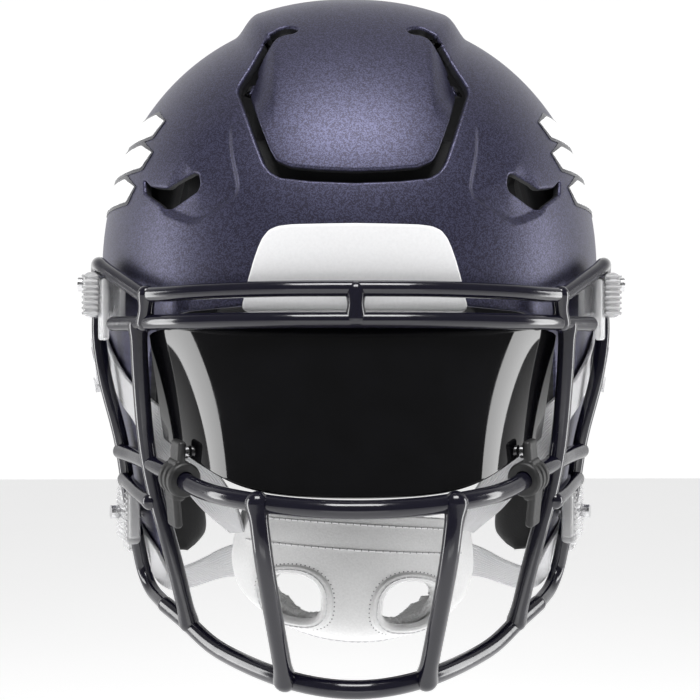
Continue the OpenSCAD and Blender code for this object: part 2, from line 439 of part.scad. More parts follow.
shell();
flex_panel();
front_bumper();
rear_bumper();
rear_bumper_screws();
decal_left();
decal_right();
front_pad();
crown_pad();
side_pad_left();
side_pad_right();
back_pad();
neck_pad();
jaw_pad_left();
jaw_pad_right();
crown_air_valve();
rear_air_valve();
upper_clip_left();
upper_clip_right();
lower_clip_studs();
lower_clip_left();
lower_clip_right();
upper_push_pin_left();
upper_push_pin_right();
lower_push_pin_left();
lower_push_pin_right();
upper_brow_bar();
lower_brow_bar();
brow_post();
brow_end_posts();
mouth_bar();
chin_bar();
chin_post_left();
chin_post_right();
side_bar_left();
side_bar_right();
outer_bar_left();
outer_bar_right();
lower_link_left();
lower_link_right();
eye_shield();
shield_clip_left();
shield_clip_right();
shield_screws();
chin_cup();
chin_cup_liner();
upper_strap_left();
upper_strap_right();
lower_strap_left();
lower_strap_right();
strap_studs();
strap_snaps();
upper_buckle_left();
upper_buckle_right();
lower_buckle_left();
lower_buckle_right();
upper_cam_lever_left();
upper_cam_lever_right();
lower_cam_lever_left();
lower_cam_lever_right();
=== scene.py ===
import bpy, math, json
import numpy as np
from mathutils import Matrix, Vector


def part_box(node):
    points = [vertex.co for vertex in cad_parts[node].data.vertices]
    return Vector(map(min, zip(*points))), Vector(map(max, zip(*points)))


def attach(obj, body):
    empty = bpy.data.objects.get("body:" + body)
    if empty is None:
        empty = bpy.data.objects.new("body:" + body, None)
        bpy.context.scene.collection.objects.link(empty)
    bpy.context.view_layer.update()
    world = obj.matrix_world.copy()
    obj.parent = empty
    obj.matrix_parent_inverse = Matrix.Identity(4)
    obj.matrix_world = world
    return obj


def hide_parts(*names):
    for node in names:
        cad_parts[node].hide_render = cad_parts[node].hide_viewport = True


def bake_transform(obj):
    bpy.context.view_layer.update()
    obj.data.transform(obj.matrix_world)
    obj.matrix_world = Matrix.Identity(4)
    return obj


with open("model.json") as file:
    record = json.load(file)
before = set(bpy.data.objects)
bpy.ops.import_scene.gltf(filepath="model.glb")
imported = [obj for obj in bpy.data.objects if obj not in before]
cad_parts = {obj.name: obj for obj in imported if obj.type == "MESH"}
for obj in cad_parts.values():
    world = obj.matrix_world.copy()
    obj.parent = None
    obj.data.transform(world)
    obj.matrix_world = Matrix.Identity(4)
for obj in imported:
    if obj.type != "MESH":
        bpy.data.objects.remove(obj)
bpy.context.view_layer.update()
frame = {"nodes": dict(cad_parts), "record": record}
MM = 0.001
scene = bpy.context.scene

# ---------------------------------------------------------------- maths
def ss(t):
    t = np.clip(t, 0, 1)
    return t * t * (3 - 2 * t)

def unit(v):
    v = np.asarray(v, float)
    return v / np.maximum(np.linalg.norm(v, axis=-1, keepdims=True), 1e-12)

A, BF, BB, CZ, EZ, Y0, EV, EH = 117.6, 150.0, 138.0, 159.5, 35.0, 8.0, 2.1, 2.2

def base(th, w):
    th = np.radians(np.asarray(th, float)); w = np.asarray(w, float)
    phi = np.radians(90 * (1 - np.clip(w, 0, 1))); q = np.clip(w - 1, 0, None)
    rho = np.where(w > 1, 1, np.cos(phi) ** (2 / EV))
    z = np.where(w > 1, EZ - 125 * q, EZ + (CZ - EZ) * np.sin(phi) ** (2 / EV))
    ax = A * (1 - .17 * q ** 1.6); bf = BF - 17 * q ** 1.5; bb = BB - 24 * q ** 1.8
    c, s = np.cos(th), np.sin(th)
    r = (np.abs(c) ** EH + np.abs(s) ** EH) ** (-1 / EH)
    return np.stack([ax * rho * r * s, Y0 - np.where(c > 0, bf, bb) * rho * r * c, z], -1)

def base_n(th, w):
    w = np.maximum(w, .02)
    return unit(np.cross(base(th + .5, w) - base(th - .5, w), base(th, w - .01) - base(th, w + .01)))

def ridge(p):
    x, y, z = np.abs(p[..., 0]), p[..., 1], p[..., 2]
    k = ss((y + 125) / 75); xi = 27 + 13 * k; xo = 43 + 10 * k
    return 6.4 * ss((y + 128) / 68) * ss((xo - x) / (xo - xi)) * ss((z - 60) / 40)

def wz(z):
    z = np.asarray(z, float)
    return np.where(z <= EZ, 1 + (EZ - z) / 125, 1 - np.degrees(np.arcsin(np.clip((np.maximum(z, EZ) - EZ) / (CZ - EZ), 0, 1) ** (EV / 2))) / 90)

def thxz(x, z):
    x = np.asarray(x, float); z = np.asarray(z, float)
    k = np.clip(np.abs(x) / base(np.full(z.shape, 90.), wz(z))[..., 0], 0, 1)
    return np.sign(x) * np.degrees(np.arctan2(k, (1 - k ** EH) ** (1 / EH)))

def dense(pts, step=.4, closed=False):
    pts = np.asarray(pts, float)
    if closed:
        pts = np.vstack([pts, pts[:1]])
    out = []
    for a, b in zip(pts[:-1], pts[1:]):
        n = max(1, int(math.ceil(np.linalg.norm(b - a) / step)))
        out.append(a + (b - a) * (np.arange(n)[:, None] / n))
    if not closed:
        out.append(pts[-1:])
    return np.vstack(out)

def soften(pts, sigma, closed=True):
    """low-pass a dense polyline so that its corners are rounded"""
    n = int(sigma * 3) + 1
    k = np.exp(-.5 * (np.arange(-n, n + 1) / sigma) ** 2); k /= k.sum()
    if closed:
        e = np.vstack([pts[-n:], pts, pts[:n]])
    else:
        e = np.vstack([2 * pts[0] - pts[n:0:-1], pts, 2 * pts[-1] - pts[-2:-n - 2:-1]])
    return np.stack([np.convolve(e[:, i], k, "valid") for i in range(pts.shape[1])], 1)

def catmull(pts, n):
    pts = np.asarray(pts, float)
    e = np.vstack([2 * pts[0] - pts[1], pts, 2 * pts[-1] - pts[-2]])
    out = []
    for i in range(1, len(e) - 2):
        p0, p1, p2, p3 = e[i - 1:i + 3]
        t = (np.arange(n) / n)[:, None]
        out.append(.5 * (2 * p1 + (p2 - p0) * t + (2 * p0 - 5 * p1 + 4 * p2 - p3) * t ** 2 + (3 * p1 - p0 - 3 * p2 + p3) * t ** 3))
    out.append(pts[-1:])
    return np.vstack(out)

def near_line(P, line, chunk=4000):
    """signed distance to an open polyline (positive on the side n x t) and the place along it, 0 to 1"""
    c = np.array([0, Y0, EZ])
    seg = np.diff(line, axis=0); L = np.linalg.norm(seg, axis=1); cum = np.concatenate([[0], np.cumsum(L)])
    S = np.full(len(P), 99.); U = np.zeros(len(P))
    lo, hi = line.min(0) - 40, line.max(0) + 40
    idx = np.where(np.all((P > lo) & (P < hi), 1))[0]
    for a in range(0, len(idx), chunk):
        k = idx[a:a + chunk]; p = P[k][:, None]
        t = np.clip(((p - line[None, :-1]) * seg).sum(-1) / (L ** 2), 0, 1)
        q = line[None, :-1] + seg * t[..., None]
        d = np.linalg.norm(p - q, axis=-1); j = d.argmin(1); r = np.arange(len(k))
        n = unit(P[k] - c)
        side = (np.cross(n, seg[j] / L[j][:, None]) * (P[k] - q[r, j])).sum(-1)
        S[k] = d[r, j] * np.sign(side); U[k] = (cum[j] + t[r, j] * L[j]) / cum[-1]
    return S, U

VENT_FOLD = catmull([[48.6, -114.9, 95], [47.8, -123.1, 79], [45.4, -129, 67], [45.6, -130.4, 61.6], [48.2, -129.8, 58], [57, -126, 53.2], [63, -122.3, 50.4], [69, -117.6, 51.4], [80, -105.5, 57.2]], 4)
EDGE_FOLD = catmull([[110.2, -52, 41], [108, -60, 37.5], [104, -70, 33.8], [96, -86, 28.2], [85.5, -101, 23.4], [71.6, -115.6, 19.6]], 4)
SLOT_O = [[24.6, 136.2], [28, 137], [31.6, 136], [34.8, 132.6], [39.5, 124.2], [43.6, 115], [46.9, 108.4], [47.4, 105.2], [43.6, 95.2], [39.1, 82.6], [35.5, 73], [33, 69.4], [29, 66.9], [17, 65.3], [0, 64.5]]
SLOT_I = [[24.8, 132.8], [28.8, 132.3], [31.8, 131], [33.6, 128.6], [38, 120], [42.7, 108.4], [43.2, 105], [38.1, 91.2], [33.5, 79], [30.8, 74], [25, 71.2], [13.4, 69.8], [0, 69.2]]

def mid_x(z):
    zz = np.array([64.5, 68, 73, 80, 92, 105, 107, 120, 130, 136]); xx = np.array([20., 30, 33.4, 36.6, 41, 45.3, 45.2, 40.2, 34, 26])
    return np.interp(z, zz, xx)

def relief(p0):
    """height of the moulded folds and facets over the plain helmet form"""
    sh = p0.shape[:-1]; p = p0.reshape(-1, 3).copy(); front = p[:, 1] < 0
    p[:, 0] = np.abs(p[:, 0]); x, y, z = p.T
    h = np.zeros(len(p))
    s, u = near_line(p, VENT_FOLD)
    h -= 2.3 * ss(s / 2.4) * (1 - ss((s - 3) / 26)) * ss(u / .25) * ss((1 - u) / .10) * front
    s, u = near_line(p, EDGE_FOLD)
    h -= 2.2 * ss(s / 2.0) * (1 - .6 * ss((s - 8) / 22)) * ss(u / .2) * ss((1 - u) / .3) * front
    panel = front & (x < mid_x(z)) & (z > 66) & (z < 134)
    h -= np.where(panel, .46 * np.clip(np.sqrt(np.clip(x - 31.4, 0, None) ** 2 + .25) - .5, 0, None) * ss((z - 88) / 20) * ss((134 - z) / 7), 0)
    return h.reshape(sh)

def SH(th, w, off=0.):
    p = base(th, w)
    return p + base_n(th, w) * (ridge(p) + relief(p) - off)[..., None]

def SHN(th, w):
    th, w = np.broadcast_arrays(np.asarray(th, float), np.maximum(np.asarray(w, float), .012))
    return unit(np.cross(SH(th + .35, w) - SH(th - .35, w), SH(th, w - .004) - SH(th, w + .004)))

def on(th, z, off=0.):
    th = np.atleast_1d(np.asarray(th, float)); w = wz(np.atleast_1d(np.asarray(z, float)))
    n = SHN(th, w)
    return SH(th, w) + n * np.asarray(off), n

# ---------------------------------------------------------------- mesh building
def add_mesh(name, V, F, N=None, mat=None, body="shell", reps=(), uv=None, blend=None, mat2=None, mi=None):
    V = np.asarray(V, float) * MM
    me = bpy.data.meshes.new(name)
    me.from_pydata(V.tolist(), [], [tuple(int(i) for i in f) for f in F])
    me.update()
    me.polygons.foreach_set("use_smooth", np.ones(len(me.polygons), bool))
    if uv is not None:
        lay = me.uv_layers.new(name="UVMap")
        vi = np.empty(len(me.loops), np.int32); me.loops.foreach_get("vertex_index", vi)
        lay.data.foreach_set("uv", np.asarray(uv, float)[vi].ravel())
    if N is not None:
        me.normals_split_custom_set_from_vertices(np.asarray(N, float).tolist())
    ob = bpy.data.objects.new(name, me)
    scene.collection.objects.link(ob)
    if mat is not None:
        me.materials.append(mat)
    if mat2 is not None:
        me.materials.append(mat2)
        k = np.zeros(len(me.polygons), np.int32); k[:len(mi)] = mi
        me.polygons.foreach_set("material_index", k)
    if blend:
        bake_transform(ob)
    elif body:
        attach(ob, body)
    if reps:
        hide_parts(*reps)
    return ob

def weld(parts):
    """several (V, F, N) into one"""
    V, F, N, o = [], [], [], 0
    for v, f, n in parts:
        V.append(v); N.append(n); F += [tuple(i + o for i in g) for g in f]; o += len(v)
    return np.vstack(V), F, np.vstack(N)

LAST = {}
def sheet(P, N, loops, r, t, wrap=False, cap=False, split=None, inner=True, Pin=None):
    """A thick sheet cut by outlines, with rounded rims. P, N: rows x columns x 3. Each loop: (dense 3-D points, function giving True where there is material)."""
    H, W = P.shape[:2]; Pf = P.reshape(-1, 3); Nf = N.reshape(-1, 3)
    Pi_ = Pf if Pin is None else Pin.reshape(-1, 3)
    f = np.full(len(Pf), 99.); Q = np.zeros_like(Pf)
    for pts, inside in loops:
        m = inside(Pi_)
        lo, hi = pts.min(0) - 5, pts.max(0) + 5
        k = np.where(np.all((Pf > lo) & (Pf < hi), 1))[0]
        s = np.where(m, 99., -99.)
        qn = np.zeros_like(Pf)
        for a in range(0, len(k), 1500):
            kk = k[a:a + 1500]
            d2 = ((Pf[kk][:, None] - pts[None]) ** 2).sum(-1); j = d2.argmin(1)
            s[kk] = np.sqrt(d2[np.arange(len(kk)), j]) * np.where(m[kk], 1, -1); qn[kk] = pts[j]
        b = s < f
        f = np.where(b, s, f); Q[b] = qn[b]
    i, j = np.meshgrid(np.arange(H - 1), np.arange(W if wrap else W - 1), indexing="ij")
    a = i * W + j; b = i * W + (j + 1) % W; c = (i + 1) * W + (j + 1) % W; d = (i + 1) * W + j
    quads = np.stack([a, b, c, d], -1).reshape(-1, 4)
    mid = quads[::max(1, len(quads) // 4000)]
    if np.median((np.cross(Pf[mid[:, 2]] - Pf[mid[:, 0]], Pf[mid[:, 3]] - Pf[mid[:, 1]]) * Nf[mid[:, 0]]).sum(1)) < 0:
        quads = quads[:, ::-1]
    fq = f[quads]
    F = quads[(fq.mean(1) > r) & (fq.min(1) > -3.5) & ((fq > r * .4).sum(1) >= 2)]
    E = np.concatenate([F[:, [0, 1]], F[:, [1, 2]], F[:, [2, 3]], F[:, [3, 0]]]); fid = np.tile(np.arange(len(F)), 4)
    M = len(Pf); isb = ~np.isin(E[:, 0] * M + E[:, 1], E[:, 1] * M + E[:, 0])
    if cap:
        isb &= ~((E[:, 0] < W) & (E[:, 1] < W))
    BE, bf = E[isb], fid[isb]
    bv = np.unique(BE)
    P2 = Pf.copy()
    dv = Pf[bv] - Q[bv]; sg = np.sign(f[bv])[:, None]; dl = np.linalg.norm(dv, axis=1, keepdims=True)
    dr = dv * sg / np.maximum(dl, 1e-9)
    # where a point lies almost on the outline, take the direction from its neighbours
    cen = np.zeros((M, 3)); cnt = np.zeros(M)
    fc = Pf[F].mean(1)
    for q in range(4):
        np.add.at(cen, F[:, q], fc); np.add.at(cnt, F[:, q], 1)
    din = unit(cen[bv] / cnt[bv][:, None] - Pf[bv])
    dr = np.where(dl < .3, din, dr)
    n = Nf[bv]
    free = f[bv] > 50          # an edge of the grid itself: the rim is added outside it
    dr[free] = din[free]
    dr = unit(dr - n * (dr * n).sum(1, keepdims=True))
    P2[bv] = np.where(free[:, None], Pf[bv], Q[bv] + dr * r)
    used = np.unique(F); new = np.full(M, -1); new[used] = np.arange(len(used))
    V = [P2[used]]; NN = [Nf[used]]; o = len(used)
    Fo = new[F]; faces = [Fo]; tag = [np.arange(len(F))]; mi = [np.zeros(len(F), int)]
    if split is not None:
        grp = split(fc)
    bi = np.full(M, -1); bi[bv] = np.arange(len(bv)); nb = len(bv)
    rings = [new[bv]]
    def ring(p, nn):
        nonlocal o
        V.append(p); NN.append(unit(nn)); rings.append(np.arange(nb) + o); o += nb
    B = P2[bv]
    for k in (22.5, 45, 67.5, 90):
        t0 = math.radians(k)
        ring(B - dr * r * math.sin(t0) - n * r * (1 - math.cos(t0)), n * math.cos(t0) - dr * math.sin(t0))
    r2 = min(r, t * .49)
    if t - r - r2 > .05:
        ring(B - dr * r - n * (t - r2), -dr)
    for k in (45, 90) if inner else ():
        t0 = math.radians(k)
        if k < 90:
            ring(B - dr * (r - r2 * (1 - math.cos(t0))) - n * (t - r2 + r2 * math.sin(t0)), -dr * math.cos(t0) - n * math.sin(t0))
    if inner:
        V.append(P2[used] - Nf[used] * t); NN.append(-Nf[used]); inn = np.arange(len(used)) + o; o += len(used)
        if r2 < r:      # inner edge sits under the rim, not under the fillet start
            V[-1][new[bv]] = B - dr * (r - r2) - n * t
        rings.append(inn[new[bv]])
        faces.append(inn[Fo][:, ::-1]); tag.append(np.arange(len(F))); mi.append(np.ones(len(F), int))
    e0, e1 = bi[BE[:, 0]], bi[BE[:, 1]]
    for k in range(len(rings) - 1):
        u, v = rings[k], rings[k + 1]
        # strips past the outer fillet (cut wall, inner fillet) and the inner side take the dark second material: on the
        # cut walls that dark is painted shade
        faces.append(np.stack([v[e0], v[e1], u[e1], u[e0]], -1)); tag.append(bf); mi.append(np.full(len(bf), int(k >= 4)))
    faces = np.vstack(faces); tag = np.concatenate(tag); mi = np.concatenate(mi); LAST["mi"] = [mi]
    V = np.vstack(V); NN = np.vstack(NN); FL = [tuple(q) for q in faces.tolist()]
    if cap:
        top = P2[:W].mean(0); nn = unit(Nf[:W].mean(0))
        V = np.vstack([V, top, top - nn * t]); NN = np.vstack([NN, nn, -nn])
        row = new[:W]; extra = []
        for q in range(W):
            extra.append((int(row[q]), int(row[(q + 1) % W]), len(V) - 2))
            extra.append((int(inn[row[(q + 1) % W]]), int(inn[row[q]]), len(V) - 1))
    if split is None:
        return V, FL + (extra if cap else []), NN
    g = grp[tag]; out = []; LAST["mi"] = [mi[~g], mi[g]]
    for val in (False, True):
        fs = faces[g == val]; us = np.unique(fs)
        if cap and not val:
            us = np.unique(np.concatenate([us, [len(V) - 2, len(V) - 1], new[:W], inn[new[:W]]]))
        m = np.full(len(V), -1); m[us] = np.arange(len(us))
        fl = [tuple(q) for q in m[fs].tolist()]
        if cap and not val:
            fl += [tuple(int(m[i]) for i in q) for q in extra]
        out.append((V[us], fl, NN[us]))
    return out

def in_poly(x, y, poly):
    c = np.zeros(x.shape, bool); n = len(poly)
    for i in range(n):
        x0, y0 = poly[i]; x1, y1 = poly[i - 1]
        c ^= ((y0 > y) != (y1 > y)) & (x < (x1 - x0) * (y - y0) / (y1 - y0 + 1e-12) + x0)
    return c

def tube(pts, r, seg=20, round0=True, round1=True, flare0=0., flare1=0.):
    """a round bar along dense points, its ends rounded and swelling into a weld"""
    pts = np.asarray(pts, float); T = unit(np.gradient(pts, axis=0))
    L = np.concatenate([[0], np.cumsum(np.linalg.norm(np.diff(pts, axis=0), axis=1))])
    up = np.array([0, 0, 1.]) if abs(T[0][2]) < .9 else np.array([1., 0, 0])
    U = [unit(np.cross(up, T[0]))]
    for k in range(1, len(pts)):
        u = U[-1] - T[k] * (U[-1] @ T[k]); U.append(unit(u))
    U = np.array(U); Wd = np.cross(T, U)
    R = r * (1 + flare0 * np.exp(-(L / (1.1 * r)) ** 2) + flare1 * np.exp(-((L[-1] - L) / (1.1 * r)) ** 2))
    C, RR, TT, UU, WW, ax = list(pts), list(R), list(T), list(U), list(Wd), [0.] * len(pts)
    def dome(at, sgn):
        c, rr, tt, uu, ww = pts[at], R[at], T[at], U[at], Wd[at]
        out = []
        for k in (18, 36, 54, 72, 88):
            t0 = math.radians(k)
            out.append((c + tt * sgn * rr * math.sin(t0), rr * math.cos(t0), tt, uu, ww, sgn * math.sin(t0)))
        return out
    s0 = dome(0, -1)[::-1] if round0 else []
    s1 = dome(-1, 1) if round1 else []
    rows = s0 + [(C[k], RR[k], TT[k], UU[k], WW[k], 0.) for k in range(len(pts))] + s1
    ang = np.arange(seg) * 2 * math.pi / seg; ca, sa = np.cos(ang)[:, None], np.sin(ang)[:, None]
    V, N = [], []
    for c, rr, tt, uu, ww, a in rows:
        d = ca * uu + sa * ww
        V.append(c + d * rr); N.append(unit(d * math.sqrt(max(1 - a * a, 0)) + tt * a))
    V = np.vstack(V); N = np.vstack(N); n = len(rows); F = []
    for k in range(n - 1):
        for j in range(seg):
            j2 = (j + 1) % seg
            F.append((k * seg + j, k * seg + j2, (k + 1) * seg + j2, (k + 1) * seg + j))
    F.append(tuple(range(seg))[::-1]); F.append(tuple(range((n - 1) * seg, n * seg)))
    return V, F, N

def frame_at(n, roll=0.):
    """columns x, y, n like the part's own frame on the shell"""
    n = unit(n); x = unit(np.cross([0, 0, 1], n)); y = np.cross(n, x)
    c, s = math.cos(math.radians(roll)), math.sin(math.radians(roll))
    return np.stack([x * c + y * s, y * c - x * s, n], 1)

def place(part, M, at):
    v, f, n = part
    return v @ M.T + at, f, n @ M.T

def flip(part):
    """mirror to the other side"""
    v, f, n = part
    return v * [-1, 1, 1], [tuple(reversed(g)) for g in f], n * [-1, 1, 1]

def lathe(prof, seg=48):
    """turn a profile of (radius, height) about Z; corners are kept crisp by splitting them"""
    V, N, F = [], [], []
    ang = np.arange(seg) * 2 * math.pi / seg; o = 0
    for (r0, z0), (r1, z1) in zip(prof[:-1], prof[1:]):
        d = math.hypot(r1 - r0, z1 - z0) or 1; nr, nz_ = (z1 - z0) / d, -(r1 - r0) / d
        for r, z in ((r0, z0), (r1, z1)):
            V.append(np.stack([r * np.cos(ang), r * np.sin(ang), np.full(seg, z)], 1))
            N.append(np.stack([nr * np.cos(ang), nr * np.sin(ang), np.full(seg, nz_)], 1))
        for j in range(seg):
            j2 = (j + 1) % seg
            F.append((o + j, o + j2, o + seg + j2, o + seg + j))
        o += 2 * seg
    return np.vstack(V), F, np.vstack(N)

def rounded(prof, r=.5, n=4):
    """round the corners of a (radius, height) profile"""
    p = [np.array(q, float) for q in prof]; out = [p[0]]
    for a, b, c in zip(p[:-2], p[1:-1], p[2:]):
        la, lc = np.linalg.norm(a - b), np.linalg.norm(c - b)
        k = min(r, la * .45, lc * .45); s, e = b + (a - b) / la * k, b + (c - b) / lc * k
        for i in range(n + 1):
            t = i / n
            out.append(s * (1 - t) ** 2 + b * 2 * t * (1 - t) + e * t * t)
    out.append(p[-1])
    return out

def rbox(size, r, at=(0, 0, 0)):
    """a box with rounded edges, centred on at"""
    hs = np.array(size, float) / 2; r = min(r, hs.min() * .98)
    L = [(-1, 45), (-1, 30), (-1, 15), (-1, 0), (1, 0), (1, 15), (1, 30), (1, 45)]
    V, N, F = [], [], []
    for a in range(3):
        for s in (-1, 1):
            e1, e2 = (a + 1) % 3, (a + 2) % 3; o = len(V)
            for s1, a1 in L:
                for s2, a2 in L:
                    d = np.zeros(3); d[a] = s; d[e1] = s1 * math.tan(math.radians(a1)); d[e2] = s2 * math.tan(math.radians(a2)); d = unit(d)
                    p = r * d; p[a] += s * (hs[a] - r); p[e1] += s1 * (hs[e1] - r); p[e2] += s2 * (hs[e2] - r)
                    V.append(p); N.append(d)
            for i in range(7):
                for j in range(7):
                    q = (o + i * 8 + j, o + (i + 1) * 8 + j, o + (i + 1) * 8 + j + 1, o + i * 8 + j + 1)
                    F.append(q if s > 0 else q[::-1])
    V = np.array(V); N = np.array(N)
    _, ix, inv = np.unique(np.round(V * 1e4).astype(int), axis=0, return_index=True, return_inverse=True)
    inv = inv.ravel(); F = [tuple(int(inv[i]) for i in q) for q in F]; F = [q for q in F if len(set(q)) == 4]
    return V[ix] + np.array(at, float), F, N[ix]

# ---------------------------------------------------------------- materials
def principled(name, color, rough, metal=0., **kw):
    m = bpy.data.materials.new(name); m.use_nodes = True
    b = m.node_tree.nodes["Principled BSDF"]
    b.inputs["Base Color"].default_value = (*color, 1); b.inputs["Roughness"].default_value = rough; b.inputs["Metallic"].default_value = metal
    for k, v in kw.items():
        b.inputs[k.replace("_", " ")].default_value = v
    m.diffuse_color = (*color, 1)
    return m, m.node_tree, b

def tex(nt, kind, scale, coord="Object", detail=2., **kw):
    c = nt.nodes.new("ShaderNodeTexCoord"); t = nt.nodes.new(kind)
    t.inputs["Scale"].default_value = scale
    if "Detail" in t.inputs:
        t.inputs["Detail"].default_value = detail
    for k, v in kw.items():
        setattr(t, k, v)
    nt.links.new(c.outputs[coord], t.inputs["Vector"])
    return t

def ramp(nt, src, stops):
    r = nt.nodes.new("ShaderNodeValToRGB")
    while len(r.color_ramp.elements) < len(stops):
        r.color_ramp.elements.new(.5)
    for e, (p, c) in zip(r.color_ramp.elements, stops):
        e.position = p; e.color = (*c, 1) if len(c) == 3 else c
    nt.links.new(src, r.inputs["Fac"])
    return r.outputs["Color"]

def bumps(nt, b, src, strength, dist, chain=None):
    n = nt.nodes.new("ShaderNodeBump"); n.inputs["Strength"].default_value = strength; n.inputs["Distance"].default_value = dist
    nt.links.new(src, n.inputs["Height"])
    if chain is not None:
        nt.links.new(chain, n.inputs["Normal"])
    nt.links.new(n.outputs["Normal"], b.inputs["Normal"])
    return n.outputs["Normal"]

def g3(v):
    return (v, v, v)

MATS = {}
# satin metallic paint with a fine blue and violet flake
m, nt, b = principled("shell_paint", (.030, .028, .055), .46, .62, Coat_Weight=.18, Coat_Roughness=.45)
fl = tex(nt, "ShaderNodeTexVoronoi", 2300)
sep = nt.nodes.new("ShaderNodeSeparateColor"); nt.links.new(fl.outputs["Color"], sep.inputs["Color"])
nt.links.new(ramp(nt, sep.outputs[0], [(0, (.0215, .0195, .038)), (.5, (.0245, .0225, .045)), (.86, (.0285, .0270, .055)), (.97, (.042, .041, .085)), (1, (.066, .066, .125))]), b.inputs["Base Color"])
c1 = bumps(nt, b, fl.outputs["Distance"], .07, .0003)
og = tex(nt, "ShaderNodeTexNoise", 1500, detail=3)
bumps(nt, b, og.outputs["Fac"], .03, .0003, c1)
nt.links.new(ramp(nt, og.outputs["Fac"], [(.3, g3(.40)), (.7, g3(.48))]), b.inputs["Roughness"])
MATS["shell_paint"] = m
# glossy vinyl dip of the wires
m, nt, b = principled("mask_coat", (.0050, .0045, .012), .15, 0, Coat_Weight=.35, Coat_Roughness=.05)
og = tex(nt, "ShaderNodeTexNoise", 160, detail=3)
bumps(nt, b, og.outputs["Fac"], .10, .0008)
nt.links.new(ramp(nt, og.outputs["Fac"], [(.3, g3(.13)), (.7, g3(.22))]), b.inputs["Roughness"])
MATS["mask_coat"] = m
m, nt, b = principled("bumper_white", (.86, .86, .87), .34, 0, Coat_Weight=.15, Coat_Roughness=.2)
og = tex(nt, "ShaderNodeTexNoise", 900, detail=2)
bumps(nt, b, og.outputs["Fac"], .06, .0003)
nt.links.new(ramp(nt, og.outputs["Fac"], [(.3, (.84, .84, .85)), (.7, (.88, .88, .89))]), b.inputs["Base Color"])
MATS["bumper_white"] = m
def mottled(name, c0, c1, r0, r1, scale, strength, dist, **kw):
    m, nt, b = principled(name, c0, r0, 0, **kw)
    t = tex(nt, "ShaderNodeTexNoise", scale, detail=4)
    nt.links.new(ramp(nt, t.outputs["Fac"], [(.3, c0), (.7, c1)]), b.inputs["Base Color"])
    nt.links.new(ramp(nt, t.outputs["Fac"], [(.3, g3(r0)), (.7, g3(r1))]), b.inputs["Roughness"])
    bumps(nt, b, t.outputs["Fac"], strength, dist)
    MATS[name] = m
    return m, nt, b
mottled("bumper_black", (.012, .012, .013), (.018, .018, .02), .4, .5, 700, .12, .0004)
mottled("decal_film", (.86, .86, .87), (.9, .9, .9), .22, .3, 600, .03, .0002)
mottled("decal_edge", (.010, .010, .018), (.015, .015, .024), .25, .32, 600, .03, .0002)
mottled("valve_rubber", (.014, .014, .015), (.024, .024, .025), .55, .7, 900, .2, .0004)
mottled("ring_rubber", (.012, .012, .012), (.02, .02, .021), .42, .55, 700, .16, .0004)
mottled("buckle_plastic", (.82, .82, .83), (.86, .86, .87), .28, .36, 600, .06, .0003)
mottled("jaw_pad_cover", (.006, .006, .0065), (.011, .011, .012), .5, .62, 1500, .35, .0004, Sheen_Weight=.06, Sheen_Roughness=.5)
mottled("liner_pad", (.010, .010, .012), (.018, .018, .021), .55, .68, 1300, .35, .0004, Sheen_Weight=.12, Sheen_Roughness=.5)
mottled("cup_leather", (.80, .80, .80), (.87, .87, .87), .42, .55, 1100, .28, .0004)
mottled("cup_liner", (.78, .78, .78), (.9, .9, .9), .9, 1., 650, .9, .0016, Sheen_Weight=.6, Sheen_Roughness=.6)
# dark grey for the needle holes: painted shade of the holes
mottled("painted_needle_hole_shade", (.16, .16, .17), (.24, .24, .25), .8, .9, 3000, .3, .0002)
mottled("stitch_thread", (.70, .70, .71), (.84, .84, .85), .6, .75, 3000, .4, .0002)
# dark for the inner side of the shell and the cut walls of its openings: on the walls this dark is painted shade, on
# the inner side it is partly painted shade
mottled("shell_inside_painted_shade", (.010, .010, .012), (.016, .016, .019), .5, .62, 500, .15, .0005)
# polished steel
m, nt, b = principled("steel", (.62, .62, .63), .24, 1.)
og = tex(nt, "ShaderNodeTexNoise", 800, detail=4)
nt.links.new(ramp(nt, og.outputs["Fac"], [(.3, g3(.18)), (.7, g3(.32))]), b.inputs["Roughness"]); bumps(nt, b, og.outputs["Fac"], .08, .0002)
MATS["steel"] = m
# clear moulded clips
m, nt, b = principled("clip_clear", (.93, .93, .94), .10, 0, Transmission_Weight=.62, IOR=1.4, Coat_Weight=.3)
og = tex(nt, "ShaderNodeTexNoise", 240, detail=3)
nt.links.new(ramp(nt, og.outputs["Fac"], [(.3, g3(.07)), (.7, g3(.20))]), b.inputs["Roughness"]); bumps(nt, b, og.outputs["Fac"], .15, .0006)
MATS["clip_clear"] = m
# dark tinted eye shield
m, nt, b = principled("shield_tint", (.0022, .0022, .0028), .045, 0, Coat_Weight=.1, Coat_Roughness=.02, Specular_IOR_Level=.36)
og = tex(nt, "ShaderNodeTexNoise", 60, detail=2)
nt.links.new(ramp(nt, og.outputs["Fac"], [(.3, g3(.035)), (.7, g3(.065))]), b.inputs["Roughness"])
nt.links.new(ramp(nt, og.outputs["Fac"], [(.3, (.0018, .0018, .0022)), (.7, (.0028, .0028, .0036))]), b.inputs["Base Color"])
MATS["shield_tint"] = m
# woven strap: ribs along the length crossed by fine picks, from the strap's own millimetres
m, nt, b = principled("webbing", (.82, .82, .83), .7, 0, Sheen_Weight=.25, Sheen_Roughness=.5)
uvn = nt.nodes.new("ShaderNodeUVMap"); uvn.uv_map = "UVMap"
hs = []
for ax, sc in ((0, 1.15), (1, .62)):
    mp = nt.nodes.new("ShaderNodeMapping"); mp.inputs["Rotation"].default_value = (0, 0, math.radians(90 if ax else 0))
    wv = nt.nodes.new("ShaderNodeTexWave"); wv.inputs["Scale"].default_value = sc * .5; wv.inputs["Distortion"].default_value = .15
    nt.links.new(uvn.outputs["UV"], mp.inputs["Vector"]); nt.links.new(mp.outputs["Vector"], wv.inputs["Vector"]); hs.append(wv.outputs["Fac"])
mx = nt.nodes.new("ShaderNodeMath"); mx.operation = "MULTIPLY"; nt.links.new(hs[0], mx.inputs[0]); nt.links.new(hs[1], mx.inputs[1])
bumps(nt, b, mx.outputs["Value"], .8, .0005)
